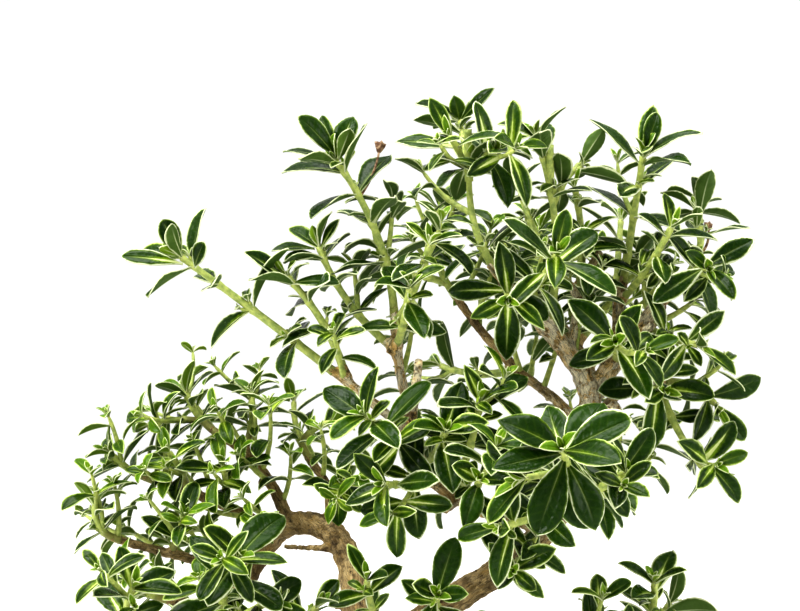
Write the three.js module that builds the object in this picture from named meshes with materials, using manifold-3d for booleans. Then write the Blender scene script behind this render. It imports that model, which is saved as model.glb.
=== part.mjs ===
import * as THREE from "three";
import { mergeVertices } from "three/addons/utils/BufferGeometryUtils.js";
import Module from "manifold-3d";

// A variegated serissa bonsai in an oval pot: pot, soil, one woody body of roots, trunk and
// branches, and the green leafy shoots that grow from it.
// Millimetres, +Z up. Origin: centre of the pot's flat foot, on the surface it stands on.
// The tree's front faces -Y.

// ---- Sizes --------------------------------------------------------------------------------

const seat = 0.3; // free gap between pieces that touch
const pot = {
  length: 156, // along X, over the lip
  width: 116, // along Y, over the lip
  height: 44,
  lip: 5, // how far the lip stands out of the wall, and its height
  wall: 6,
  taper: 8, // how much narrower the wall is at its lower edge
  belly: 1.5, // how far the wall bulges halfway up
  foot: 4, // height of the foot
  footInset: 9, // from the lower edge of the wall in to the foot
  floor: 7, // thickness of the floor over the foot
  drainRadius: 5,
  drainSpacing: 56,
  facets: 28,
};
const soil = { rim: 38, crown: 52 }; // height at the wall of the pot and at the trunk
const bough = { sides: 9, steps: 1.5, twigSides: 5, thick: 4 }; // steps: rings for each point
const stem = { baseRadius: 1.05, tipRadius: 0.7, sides: 4 };
const leaf = {
  rib: 0.5, // depth of the blade under its midrib
  fold: 0.22, // rise of the margin over the midrib, as a share of the half width
  root: 0.25, // how far the leaf's root goes past the axis of the stem
  light: 0.5, // how far a blade turns its upper face up and out of the crown
  air: 0.35, // free space round a blade
  bare: 4, // how near to the stem's axis neighbouring leaves may touch
};
// Rings of a blade: share of its length, half width as a share of its length.
const rings = [
  [0.35, 0.165],
  [0.7, 0.17],
];

// Roots, trunk and branches. Each is a list of points [x, y, z, radius], the first of them
// inside what it grows from.
const wood = {
  trunk: [
    [10, 8, 36, 12],
    [9, 7, 54, 10.5],
    [3, 4, 68, 8.6],
    [-8, 1, 86, 7.6],
    [-15, 1, 104, 6.9],
    [-14, 3, 122, 6],
    [-5, 2, 140, 4.4],
    [8, 0, 151, 4],
    [24, -2, 162, 3.8],
    [34, -4, 172, 3.6],
    [41, -3, 184, 3.4],
    [45, -1, 197, 3.3],
    [46, 0, 209, 3],
  ],
  root_left: [
    [6, 6, 58, 6.5],
    [-6, 3, 53, 4.6],
    [-18, 2, 49, 3],
    [-29, -1, 42, 1.6],
  ],
  root_front: [
    [8, 4, 57, 6.5],
    [7, -8, 52, 4.4],
    [2, -20, 45, 2.4],
  ],
  root_right: [
    [12, 8, 58, 6.5],
    [23, 7, 53, 4.4],
    [35, 3, 46, 2.4],
  ],
  root_back: [
    [10, 12, 57, 6],
    [11, 22, 51, 4],
    [15, 33, 44, 2],
  ],
  arm_left: [
    [46, 0, 205, 2.8],
    [43, -1, 214, 2.8],
    [36, -3, 223, 2.6],
    [27, -5, 232, 2.2],
    [22, -6, 238, 1.8],
  ],
  arm_right: [
    [46, 0, 205, 2.8],
    [51, 1, 214, 2.7],
    [58, 2, 222, 2.4],
    [64, 1, 231, 2.1],
    [70, 0, 237, 1.7],
  ],
  twig_up_right: [
    [54, 2, 217, 1.8],
    [54, 6, 227, 1.6],
    [56, 8, 238, 1.4],
  ],
  twig_up_mid: [
    [40, -2, 219, 1.7],
    [43, 3, 230, 1.4],
    [44, 5, 240, 1.3],
  ],
  crown_back: [
    [47, 0, 209, 2],
    [46, 15, 216, 1.7],
    [42, 28, 224, 1.5],
    [38, 38, 233, 1.3],
  ],
  twig_back: [
    [45, -1, 197, 1.8],
    [38, 13, 205, 1.5],
    [28, 23, 213, 1.4],
    [18, 30, 224, 1.3],
    [10, 33, 235, 1.3],
  ],
  branch_mid: [
    [33, -4, 171, 2.4],
    [22, -12, 177, 2],
    [10, -15, 181, 1.9],
    [2, -15, 187, 1.8],
    [-2, -13, 196, 1.6],
  ],
  twig_mid_up: [
    [-2, -13, 194, 1.5],
    [-4, -10, 206, 1.4],
    [-6, -9, 218, 1.4],
    [-7, -8, 230, 1.3],
  ],
  twig_mid_left: [
    [-1, -13, 193, 1.5],
    [-8, -14, 202, 1.4],
    [-15, -15, 208, 1.4],
    [-24, -15, 215, 1.3],
  ],
  front_bough: [
    [36, -3, 175, 2.1],
    [38, -20, 178, 1.8],
    [38, -36, 182, 1.6],
    [36, -50, 187, 1.4],
  ],
  arch: [
    [-13, 3, 120, 5],
    [-17, 18, 137, 4.2],
    [-19, 34, 151, 3.9],
    [-23, 44, 161, 3.7],
    [-31, 47, 166, 3.6],
    [-40, 48, 165, 3.4],
    [-47, 47, 157, 3.1],
    [-52, 44, 148, 2.6],
    [-61, 38, 143, 2],
    [-72, 32, 146, 1.6],
  ],
  arch_up: [
    [-38, 48, 165, 2.3],
    [-44, 52, 177, 1.8],
    [-53, 56, 187, 1.6],
    [-62, 58, 193, 1.3],
  ],
  arch_left: [
    [-42, 48, 163, 2.1],
    [-56, 53, 170, 1.7],
    [-70, 55, 175, 1.5],
    [-81, 53, 179, 1.3],
  ],
  arch_right: [
    [-26, 46, 164, 2],
    [-27, 51, 176, 1.6],
    [-33, 55, 185, 1.3],
  ],
  arch_low: [
    [-51, 45, 151, 2],
    [-64, 46, 155, 1.7],
    [-78, 43, 159, 1.4],
    [-89, 39, 163, 1.3],
  ],
  low_left: [
    [-15, 1, 104, 3.6],
    [-27, -8, 113, 3],
    [-40, -14, 123, 2.4],
    [-48, -17, 133, 2],
    [-50, -18, 142, 1.7],
  ],
  low_left_side: [
    [-39, -14, 122, 2],
    [-56, -18, 129, 1.6],
    [-70, -18, 138, 1.3],
  ],
  low_right: [
    [-13, 2, 128, 3.2],
    [4, -4, 127, 2.6],
    [22, -7, 128, 2.1],
    [40, -8, 132, 1.7],
    [53, -6, 138, 1.4],
  ],
  back_right: [
    [27, -1, 164, 2.3],
    [36, 16, 169, 1.9],
    [49, 31, 175, 1.6],
    [62, 40, 182, 1.3],
  ],
  right_low: [
    [45, -1, 200, 1.7],
    [54, 9, 206, 1.3],
    [62, 13, 210, 1.15],
    [70, 13, 210, 1.1],
  ],
};

const crownHeart = [15, 55, 175]; // leaves face away from here, and up

// The green shoots. Each grows out of a branch at a share of the branch's length and ends at
// its tip. pairs: pairs of opposite leaves; leaf: length of a full-grown leaf; roll: turn of the
// lowest pair round the stem, in degrees; first: share of the stem below the lowest pair; open:
// how wide the leaves spread; twist: how far each pair turns beyond the crossing of the one below
// it, in degrees; side: shoots that grow out of this one.
const shoots = [
  { on: "twig_mid_up", at: 1, tip: [-22, -14, 269], pairs: 5, leaf: 19, roll: 25, first: 0.3 },
  { on: "twig_mid_up", at: 0.9, tip: [2, -27, 247], pairs: 3, leaf: 13, roll: 20, open: 1.2 },
  { on: "twig_mid_up", at: 0.74, tip: [-3, -31, 236], pairs: 3, leaf: 14, roll: 80, open: 1.2 },
  { on: "twig_mid_up", at: 0.7, tip: [-27, -8, 247], pairs: 4, leaf: 14, roll: 10 },
  { on: "twig_mid_left", at: 1, tip: [-62, -22, 244], pairs: 5, leaf: 18, roll: 65, first: 0.22 },
  { on: "twig_mid_left", at: 0.82, tip: [-35, -17, 239], pairs: 4, leaf: 16, roll: 30, first: 0.4 },
  { on: "branch_mid", at: 0.92, tip: [-14, -36, 204], pairs: 4, leaf: 16, roll: 40, open: 1.15 },
  { on: "branch_mid", at: 0.72, tip: [-9, -37, 187], pairs: 3, leaf: 16, roll: 0, open: 1.1 },
  { on: "branch_mid", at: 0.8, tip: [6, -36, 200], pairs: 3, leaf: 15, roll: 65, open: 1.2 },
  { on: "branch_mid", at: 0.55, tip: [15, -28, 207], pairs: 4, leaf: 15, roll: 15, first: 0.5 },
  { on: "branch_mid", at: 0.46, tip: [14, -44, 189], pairs: 3, leaf: 14, roll: 50 },
  {
    on: "arm_left", at: 1, tip: [13, -7, 267], pairs: 2, leaf: 17, roll: 10, first: 0.3,
    side: [
      { at: 0.96, tip: [8, -14, 275], pairs: 3, leaf: 15, roll: 0, first: 0.2 },
      { at: 0.94, tip: [19, -15, 272], pairs: 3, leaf: 15, roll: 90, first: 0.2 },
      { at: 0.9, tip: [11, 8, 282], pairs: 3, leaf: 14, roll: 15, first: 0.25 },
    ],
  },
  {
    on: "arm_left", at: 0.55, tip: [31, -6, 276], pairs: 4, leaf: 15, roll: 40, first: 0.35,
    side: [{ at: 0.62, tip: [44, 6, 270], pairs: 3, leaf: 15, roll: 20 }],
  },
  { on: "arm_left", at: 0.76, tip: [34, -29, 244], pairs: 4, leaf: 18, roll: 35, open: 1.1 },
  { on: "arm_left", at: 0.95, tip: [22, -28, 233], pairs: 3, leaf: 16, roll: 80, open: 1.2 },
  { on: "twig_up_mid", at: 1, tip: [42, 2, 263], pairs: 3, leaf: 13, roll: 20 },
  { on: "twig_up_mid", at: 0.7, tip: [28, 20, 266], pairs: 4, leaf: 14, roll: 60 },
  { on: "twig_up_right", at: 1, tip: [60, -2, 272], pairs: 5, leaf: 18, roll: 25, first: 0.2 },
  { on: "twig_up_right", at: 0.75, tip: [66, -12, 252], pairs: 4, leaf: 13, roll: 45 },
  { on: "twig_up_right", at: 0.6, tip: [58, 28, 256], pairs: 3, leaf: 14, roll: 30 },
  {
    on: "arm_right", at: 1, tip: [76, 8, 258], pairs: 4, leaf: 15, roll: 70,
    side: [{ at: 0.12, tip: [75, -14, 241], pairs: 3, leaf: 16, roll: 20 }],
  },
  { on: "arm_right", at: 0.33, tip: [49, -29, 222], pairs: 3, leaf: 16, roll: 110, open: 1.1 },
  { on: "arm_right", at: 0.6, tip: [72, -16, 221], pairs: 3, leaf: 15, roll: 30, open: 1.1 },
  { on: "right_low", at: 1, tip: [81, 6, 204], pairs: 3, leaf: 15, roll: 40 },
  { on: "right_low", at: 0.5, tip: [64, -11, 209], pairs: 3, leaf: 16, roll: 75, open: 1.1 },
  { on: "right_low", at: 0.85, tip: [77, 3, 187], pairs: 3, leaf: 14, roll: 10 },
  { on: "trunk", at: 0.66, tip: [26, -26, 167], pairs: 3, leaf: 10, roll: 30, open: 1.2 },
  { on: "trunk", at: 0.57, tip: [4, -34, 159], pairs: 3, leaf: 15, roll: 60 },
  {
    on: "front_bough", at: 1, tip: [31, -77, 199], pairs: 4, leaf: 19, roll: 25, first: 0.72, open: 1.3,
    twist: 45,
    side: [{ at: 0.5, tip: [23, -71, 192], pairs: 2, leaf: 18, roll: 60, open: 1.25 }],
  },
  { on: "front_bough", at: 0.8, tip: [48, -56, 192], pairs: 3, leaf: 13, roll: 30 },
  { on: "front_bough", at: 0.62, tip: [19, -48, 178], pairs: 3, leaf: 15, roll: 70 },
  { on: "front_bough", at: 0.4, tip: [51, -28, 190], pairs: 3, leaf: 14, roll: 10 },
  {
    on: "low_left", at: 1, tip: [-46, -33, 168], pairs: 4, leaf: 18, roll: 45, first: 0.45,
    side: [{ at: 0.15, tip: [-38, -28, 156], pairs: 3, leaf: 14, roll: 10 }],
  },
  { on: "low_left", at: 0.72, tip: [-27, -16, 153], pairs: 3, leaf: 15, roll: 70 },
  { on: "low_left_side", at: 1, tip: [-73, -28, 160], pairs: 4, leaf: 16, roll: 20 },
  {
    on: "low_left_side", at: 0.6, tip: [-60, -34, 144], pairs: 3, leaf: 15, roll: 60,
    side: [{ at: 0.35, tip: [-48, -38, 140], pairs: 2, leaf: 13, roll: 15 }],
  },
  {
    on: "low_right", at: 1, tip: [61, -14, 159], pairs: 4, leaf: 14, roll: 30,
    side: [{ at: 0.15, tip: [68, 4, 150], pairs: 3, leaf: 14, roll: 0 }],
  },
  { on: "low_right", at: 0.74, tip: [46, -24, 148], pairs: 3, leaf: 15, roll: 65 },
  { on: "low_right", at: 0.5, tip: [24, -20, 144], pairs: 3, leaf: 13, roll: 40 },
  { on: "trunk", at: 0.49, tip: [-14, -16, 160], pairs: 3, leaf: 13, roll: 20 },
  {
    on: "arch_up", at: 1, tip: [-71, 60, 205], pairs: 4, leaf: 13, roll: 30,
    side: [{ at: 0.3, tip: [-82, 56, 195], pairs: 3, leaf: 12, roll: 70 }],
  },
  { on: "arch_up", at: 0.66, tip: [-51, 60, 204], pairs: 4, leaf: 13, roll: 10 },
  {
    on: "arch_right", at: 1, tip: [-38, 62, 202], pairs: 3, leaf: 13, roll: 50,
    side: [{ at: 0.3, tip: [-26, 56, 196], pairs: 3, leaf: 12, roll: 15 }],
  },
  { on: "arch_right", at: 0.5, tip: [-23, 42, 179], pairs: 3, leaf: 12, roll: 70 },
  { on: "arch_left", at: 1, tip: [-92, 49, 187], pairs: 4, leaf: 13, roll: 45 },
  { on: "arch_left", at: 0.66, tip: [-74, 44, 188], pairs: 3, leaf: 13, roll: 15 },
  { on: "arch_left", at: 0.38, tip: [-58, 46, 184], pairs: 3, leaf: 14, roll: 80 },
  { on: "arch_low", at: 1, tip: [-95, 38, 173], pairs: 3, leaf: 13, roll: 20 },
  { on: "arch_low", at: 0.55, tip: [-68, 34, 170], pairs: 3, leaf: 13, roll: 55 },
  { on: "arch", at: 1, tip: [-84, 26, 155], pairs: 3, leaf: 13, roll: 10 },
  { on: "back_right", at: 1, tip: [72, 42, 196], pairs: 4, leaf: 14, roll: 35 },
  { on: "back_right", at: 0.7, tip: [50, 38, 194], pairs: 3, leaf: 14, roll: 75 },
  {
    on: "crown_back", at: 1, tip: [36, 44, 254], pairs: 4, leaf: 15, roll: 25,
    side: [{ at: 0.4, tip: [50, 46, 246], pairs: 2, leaf: 13, roll: 60 }],
  },
  { on: "crown_back", at: 0.5, tip: [64, 32, 247], pairs: 4, leaf: 14, roll: 0 },
  {
    on: "twig_back", at: 1, tip: [6, 26, 259], pairs: 4, leaf: 15, roll: 50,
    side: [{ at: 0.12, tip: [-8, 38, 240], pairs: 3, leaf: 14, roll: 10 }],
  },
  { on: "twig_back", at: 0.6, tip: [24, 46, 243], pairs: 4, leaf: 14, roll: 35 },
  { on: "twig_back", at: 0.5, tip: [6, 32, 214], pairs: 3, leaf: 14, roll: 60 },
];

const leafDefaults = { first: 0.35, open: 1, twist: 12 };

// Ways in which a leaf may lie, best first: turn round the stem and change of its angle to the
// stem, in degrees, and share of its length.
const places = [
  [0, 0, 1],
  [18, 0, 1],
  [-18, 0, 1],
  [0, -18, 0.95],
  [34, 10, 0.95],
  [-34, 10, 0.95],
  [0, 16, 0.9],
  [26, -24, 0.8],
  [-26, -24, 0.8],
  [0, -34, 0.7],
];

// ---- Joining ------------------------------------------------------------------------------

const wasm = await Module();
wasm.setup();

function solidOf(geometry) {
  const bare = new THREE.BufferGeometry();
  bare.setAttribute("position", geometry.getAttribute("position"));
  bare.setIndex(geometry.index);
  const merged = mergeVertices(bare, 1e-4);
  return new wasm.Manifold(
    new wasm.Mesh({
      numProp: 3,
      vertProperties: new Float32Array(merged.attributes.position.array),
      triVerts: new Uint32Array(merged.index.array),
    }),
  );
}

function geometryOf(solid) {
  const mesh = solid.getMesh();
  const geometry = new THREE.BufferGeometry();
  geometry.setAttribute("position", new THREE.BufferAttribute(mesh.vertProperties, 3));
  geometry.setIndex(new THREE.BufferAttribute(mesh.triVerts, 1));
  const flat = geometry.toNonIndexed();
  flat.computeVertexNormals();
  return flat;
}

const joined = (solids) => wasm.Manifold.union(solids);
const point = ([x, y, z]) => new THREE.Vector3(x, y, z);
const radians = THREE.MathUtils.degToRad;
const mix = THREE.MathUtils.lerp;

// The part of side that is square to axis, with length 1.
const squared = (side, axis) => side.clone().addScaledVector(axis, -side.dot(axis)).normalize();

// A closed round bar along a path: an upright cylinder whose rings are carried to the path.
// path.at, path.along and path.radius give the centre, the direction and the radius at a share
// of its length.
function bar(path, sides, steps) {
  const cylinder = new THREE.CylinderGeometry(1, 1, 1, sides, steps);
  const vertex = cylinder.getAttribute("position");
  const first = path.along(0);
  const across = Math.abs(first.x) < 0.8 ? point([1, 0, 0]) : point([0, 1, 0]);
  for (let i = 0; i < vertex.count; i++) {
    const t = vertex.getY(i) + 0.5;
    const axis = path.along(t);
    const u = squared(across, axis);
    const v = u.clone().cross(axis);
    const place = path
      .at(t)
      .addScaledVector(u, vertex.getX(i) * path.radius(t))
      .addScaledVector(v, vertex.getZ(i) * path.radius(t));
    vertex.setXYZ(i, place.x, place.y, place.z);
  }
  return solidOf(cylinder);
}

// ---- Pot and soil -------------------------------------------------------------------------

const lipRadius = pot.length / 2;
const wallTop = lipRadius - pot.lip;
const wallFoot = wallTop - pot.taper;
const footRadius = wallFoot - pot.footInset;
const innerTop = wallTop - pot.wall;
const innerFloor = wallFoot - pot.wall;
const floorTop = pot.foot + pot.floor;

// A profile of [radius along X, height] turned round Z and pressed to the oval of the pot.
function oval(profile) {
  const corners = profile.map(([r, z]) => new THREE.Vector2(r, z));
  const lathe = new THREE.LatheGeometry(corners, pot.facets);
  lathe.rotateX(Math.PI / 2);
  lathe.scale(1, pot.width / pot.length, 1);
  return solidOf(lathe);
}

function drainHole(x) {
  const hole = new THREE.CylinderGeometry(pot.drainRadius, pot.drainRadius, 3 * floorTop, 12);
  hole.rotateX(Math.PI / 2);
  hole.translate(x, 0, floorTop);
  return solidOf(hole);
}

function potSolid() {
  const underLip = pot.height - pot.lip;
  const body = oval([
    [0, 0],
    [footRadius, 0],
    [footRadius, pot.foot],
    [wallFoot - 2, pot.foot],
    [wallFoot, pot.foot + 3],
    [mix(wallFoot, wallTop, 0.5) + pot.belly, mix(pot.foot, underLip, 0.5)],
    [wallTop, underLip - 2],
    [lipRadius, underLip],
    [lipRadius, pot.height - 1],
    [lipRadius - 1, pot.height],
    [innerTop, pot.height],
    [innerFloor, floorTop],
    [0, floorTop],
  ]);
  return body.subtract(drainHole(-pot.drainSpacing / 2)).subtract(drainHole(pot.drainSpacing / 2));
}

// Radius of the soil at a height: the pot's inner wall less the gap, which is set so that it
// holds on the short sides of the oval too.
function soilRadius(z) {
  const share = (z - floorTop) / (pot.height - floorTop);
  return mix(innerFloor, innerTop, share) - (seat * pot.length) / pot.width;
}

function soilSolid() {
  const low = floorTop + seat;
  const rise = soil.crown - soil.rim;
  const mound = [0.75, 0.4].map((share) => [
    share * soilRadius(soil.rim),
    soil.rim + rise * Math.cos((share * Math.PI) / 2),
  ]);
  const ground = oval([
    [0, low],
    [soilRadius(low), low],
    [soilRadius(soil.rim), soil.rim],
    ...mound,
    [0, soil.crown],
  ]);
  const buried = ["trunk", "root_left", "root_front", "root_right", "root_back"];
  return ground.subtract(joined(buried.map((name) => boughSolid(name, seat))));
}

// ---- Roots, trunk and branches ------------------------------------------------------------

const curveOf = (points) => new THREE.CatmullRomCurve3(points.map(point), false, "catmullrom", 0.5);

function radiusAt(points, t) {
  const place = t * (points.length - 1);
  const i = Math.min(Math.floor(place), points.length - 2);
  return mix(points[i][3], points[i + 1][3], place - i);
}

// grow makes it thicker and longer by that much, to cut a hole that is clear of it.
function boughSolid(name, grow = 0) {
  const points = wood[name];
  const curve = curveOf(points);
  const overrun = (t) => (t === 0 ? -grow : t === 1 ? grow : 0);
  const path = {
    at: (t) => curve.getPoint(t).addScaledVector(curve.getTangent(t), overrun(t)),
    along: (t) => curve.getTangent(t),
    radius: (t) => radiusAt(points, t) + grow,
  };
  const isThick = points[0][3] > bough.thick;
  const steps = (points.length - 1) * (isThick ? bough.steps : 1);
  return bar(path, isThick ? bough.sides : bough.twigSides, Math.round(steps));
}

// ---- Shoots -------------------------------------------------------------------------------

// Repeatable draws from 0 to 1.
function drawsFrom(seed) {
  let state = seed;
  return () => {
    state = (Math.imul(state, 1664525) + 1013904223) >>> 0;
    return state / 2 ** 32;
  };
}

// The stem of a shoot: it leaves its root along start and bends to its tip.
function stemPath(root, start, tip, baseRadius) {
  const middle = root.clone().addScaledVector(start, root.distanceTo(tip) / 2);
  const curve = new THREE.QuadraticBezierCurve3(root, middle, tip);
  return {
    at: (t) => curve.getPoint(t),
    along: (t) => curve.getTangent(t),
    radius: (t) => mix(baseRadius, stem.tipRadius, t),
  };
}

// A shoot out of a branch. It grows on from the branch's end, or stands out of its bark.
function shootPath(row) {
  const points = wood[row.on];
  const curve = curveOf(points);
  const heart = curve.getPoint(row.at);
  const along = curve.getTangent(row.at);
  const tip = point(row.tip);
  if (row.at === 1) return stemPath(heart.addScaledVector(along, seat), along, tip, stem.baseRadius);
  const start = tip.clone().sub(heart).normalize();
  start.addScaledVector(along, -0.4 * start.dot(along)).normalize();
  const angle = start.angleTo(along);
  const bark = radiusAt(points, row.at) / Math.sin(angle) + stem.baseRadius / Math.abs(Math.tan(angle));
  return stemPath(heart.addScaledVector(start, bark + seat), start, tip, stem.baseRadius);
}

// A shoot out of another shoot, from inside its stem.
function sidePath(row, parent) {
  const root = parent.at(row.at);
  const tip = point(row.tip);
  const start = tip.clone().sub(root).normalize().addScaledVector(parent.along(row.at), 0.4);
  return stemPath(root, start.normalize(), tip, parent.radius(row.at));
}

// Where each leaf of a shoot may lie: for each leaf a list of blades, best first.
function bladesOf(row, path, seed) {
  const draw = drawsFrom(seed);
  const { first, open, twist } = { ...leafDefaults, ...row };
  const span = path.at(1).sub(path.at(0)).normalize();
  const across = Math.abs(span.z) < 0.8 ? point([0, 0, 1]) : point([1, 0, 0]);
  const light = path.at(1).sub(point(crownHeart)).normalize().add(point([0, 0, 1]));
  const leaves = [];
  for (let i = 0; i < 2 * row.pairs; i++) {
    const pair = Math.floor(i / 2);
    const rise = pair / (row.pairs - 1);
    const t = first + (0.98 - first) * (1 - Math.pow(1 - rise, 1.7));
    const size = (0.9 + 0.3 * rise) * (1 - 0.34 * Math.pow(rise, 4));
    const turn = row.roll + (90 + twist) * pair + 180 * (i % 2) + 20 * (draw() - 0.5);
    const spread = open * (76 - 38 * Math.pow(rise, 1.5)) + 20 * (draw() - 0.5);
    const length = row.leaf * size * (0.88 + 0.24 * draw());
    const bend = 0.2 + 0.5 * draw();
    const tilt = radians(30 * (draw() - 0.5));
    const axis = path.along(t);
    const u = squared(across, axis);
    const v = axis.clone().cross(u);
    const blades = places.map(([around, lean, share]) => {
      const phi = radians(turn + around);
      const theta = radians(Math.min(spread + lean, 100));
      const out = u.clone().multiplyScalar(Math.cos(phi)).addScaledVector(v, Math.sin(phi));
      const along = out.clone().multiplyScalar(Math.sin(theta)).addScaledVector(axis, Math.cos(theta));
      const face = out.clone().multiplyScalar(-Math.cos(theta)).addScaledVector(axis, Math.sin(theta));
      const lit = squared(face.addScaledVector(light, leaf.light), along).applyAxisAngle(along, tilt);
      const root = path.at(t).addScaledVector(along, -leaf.root);
      return { root, along, face: lit, length: length * share, bend };
    });
    leaves.push(blades);
  }
  return leaves;
}

// A blade: a three-sided sphere with its poles at root and tip and its rings laid out along an
// arc, each with two margins and the midrib under them. more makes it larger all round.
function bladeSolid({ root, along, face, length, bend }, more = 0) {
  const sphere = new THREE.SphereGeometry(1, 3, rings.length + 1);
  const vertex = sphere.getAttribute("position");
  const uv = sphere.getAttribute("uv");
  const across = along.clone().cross(face);
  const curl = (length + more) / bend; // radius of the arc
  for (let i = 0; i < vertex.count; i++) {
    const ring = Math.round((1 - uv.getY(i)) * (rings.length + 1));
    const isPole = ring === 0 || ring > rings.length;
    const [s, half] = isPole ? [Math.sign(ring), 0] : rings[ring - 1];
    const width = half * length + more;
    const margin = leaf.fold * width + more;
    const corners = [
      [0, -leaf.rib - more],
      [width, margin],
      [-width, margin],
    ];
    const [aside, rise] = isPole ? [0, 0] : corners[Math.round(uv.getX(i) * 3) % 3];
    const arc = bend * s;
    const place = root
      .clone()
      .addScaledVector(along, (curl + rise) * Math.sin(arc))
      .addScaledVector(face, (curl + rise) * Math.cos(arc) - curl)
      .addScaledVector(across, aside);
    vertex.setXYZ(i, place.x, place.y, place.z);
  }
  return solidOf(sphere);
}

// ---- Room for every leaf ------------------------------------------------------------------

const taken = []; // what stands already: its solid and box, its shoot, and whether it is a leaf

function take(solid, shoot, isLeaf) {
  const { min, max } = solid.boundingBox();
  taken.push({ solid, box: new THREE.Box3(point(min), point(max)), shoot, isLeaf });
}

function meets(solid, others) {
  const { min, max } = solid.boundingBox();
  const box = new THREE.Box3(point(min), point(max));
  return others.some((other) => other.box.intersectsBox(box) && !solid.intersect(other.solid).isEmpty());
}

// The first of a leaf's blades that is clear of the other pieces and, away from the stem, of
// the other leaves of its shoot.
function clearBlade(blades, shoot) {
  const strangers = taken.filter((other) => other.shoot !== shoot);
  const siblings = taken.filter((other) => other.shoot === shoot && other.isLeaf);
  for (const blade of blades) {
    const solid = bladeSolid(blade);
    const { root, along } = blade;
    const outer = solid.trimByPlane(along.toArray(), root.dot(along) + leaf.bare);
    const isCrowded = meets(solid, strangers) || meets(bladeSolid(blade, leaf.air), strangers);
    if (!isCrowded && !meets(outer, siblings)) return solid;
  }
  return null;
}

// ---- The object ---------------------------------------------------------------------------

const looks = {
  glaze: { color: 0x2f4450, roughness: 0.3 },
  soil: { color: 0x3b2d22, roughness: 0.95 },
  bark: { color: 0x947a5e, roughness: 0.85 },
  leaf: { color: 0x24501f, roughness: 0.4 },
};
const bonsai = new THREE.Group();
bonsai.name = "serissa_bonsai";

function addPiece(name, solid, look) {
  const material = new THREE.MeshStandardMaterial({ name: look, metalness: 0, ...looks[look] });
  const mesh = new THREE.Mesh(geometryOf(solid), material);
  mesh.name = name;
  bonsai.add(mesh);
}

const woodSolid = joined(Object.keys(wood).map((name) => boughSolid(name)));
take(woodSolid, "wood", false);
addPiece("pot", potSolid(), "glaze");
addPiece("soil", soilSolid(), "soil");
addPiece("trunk_and_branches", woodSolid, "bark");

// All the stems come before the leaves, so that every leaf keeps clear of every stem.
const sprays = shoots.map((row, index) => {
  const earlier = shoots.slice(0, index).filter((other) => other.on === row.on);
  const name = `shoot_${row.on}_${earlier.length + 1}`;
  const seed = 100 * (index + 1);
  const path = shootPath(row);
  const parts = [{ row, path, seed }];
  for (const side of row.side ?? []) {
    parts.push({ row: side, path: sidePath(side, path), seed: seed + parts.length });
  }
  return { name, parts };
});
for (const spray of sprays) {
  spray.solids = spray.parts.map(({ row, path }) => bar(path, stem.sides, row.pairs > 3 ? 3 : 2));
  spray.solids.forEach((solid) => take(solid, spray.name, false));
}
for (const spray of sprays) {
  for (const { row, path, seed } of spray.parts) {
    for (const blades of bladesOf(row, path, seed)) {
      const blade = clearBlade(blades, spray.name);
      if (blade) {
        spray.solids.push(blade);
        take(blade, spray.name, true);
      }
    }
  }
  addPiece(spray.name, joined(spray.solids), "leaf");
}

export default bonsai;
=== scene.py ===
# A variegated serissa bonsai in its pot: the looks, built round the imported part.
# The tables below are in millimetres and are those of the part's own source, so that every
# branch, stem and leaf grows where its solid is. The scene itself is in metres.

import math
from collections import namedtuple
from types import SimpleNamespace

import bmesh
import bpy
from mathutils import Matrix, Quaternion, Vector, kdtree, noise


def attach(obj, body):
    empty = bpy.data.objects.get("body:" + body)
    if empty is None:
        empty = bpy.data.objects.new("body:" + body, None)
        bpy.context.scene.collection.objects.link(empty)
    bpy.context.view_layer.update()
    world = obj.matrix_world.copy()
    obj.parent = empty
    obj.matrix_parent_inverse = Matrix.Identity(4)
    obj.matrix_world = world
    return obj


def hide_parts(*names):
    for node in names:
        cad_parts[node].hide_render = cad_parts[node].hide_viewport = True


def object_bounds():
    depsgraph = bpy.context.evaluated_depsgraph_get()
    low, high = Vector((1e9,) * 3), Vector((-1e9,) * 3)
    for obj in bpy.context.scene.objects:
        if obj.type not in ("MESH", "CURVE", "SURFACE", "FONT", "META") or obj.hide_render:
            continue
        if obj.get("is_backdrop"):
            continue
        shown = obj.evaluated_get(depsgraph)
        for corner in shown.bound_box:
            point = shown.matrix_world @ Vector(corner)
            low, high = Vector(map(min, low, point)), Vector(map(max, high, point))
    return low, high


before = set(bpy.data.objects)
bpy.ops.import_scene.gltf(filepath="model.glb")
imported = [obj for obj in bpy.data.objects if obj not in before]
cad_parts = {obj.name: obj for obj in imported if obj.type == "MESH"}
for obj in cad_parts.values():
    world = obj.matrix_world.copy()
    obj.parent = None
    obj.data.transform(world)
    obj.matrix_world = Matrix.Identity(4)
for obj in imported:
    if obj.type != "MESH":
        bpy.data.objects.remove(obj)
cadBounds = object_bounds()
mm = 0.001
upward, sideward, backward = Vector((0, 0, 1)), Vector((1, 0, 0)), Vector((0, 1, 0))

camera = {"place": (-0.0054, -0.450, 0.2313), "lens": 75, "sensor": 36, "near": 0.01, "far": 20}
studio = {
    "floorRadius": 2.2, "wallBend": 0.9, "wallHeight": 2.6, "bendSteps": 12, "roundSteps": 96,
    "white": (0.76, 0.76, 0.76, 1), "sky": 0.7,
}
# Broad soft lamps above, to the left, in front and for the wall: place, aim, size and watts.
lamps = {
    "overhead": ((-0.25, -0.15, 1.75), (0, 0, 0.2), 1.3, 23),
    "leftWindow": ((-1.25, -0.75, 1.15), (0, 0, 0.2), 0.9, 19),
    "rightFill": ((1.3, -0.6, 0.8), (0, 0, 0.2), 1.2, 8),
    "backdrop": ((0.0, 1.1, 1.5), (0, 3.2, 0.5), 1.6, 5),
}


def addObject(name, data):
    made = bpy.data.objects.new(name, data)
    bpy.context.scene.collection.objects.link(made)
    return made


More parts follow.
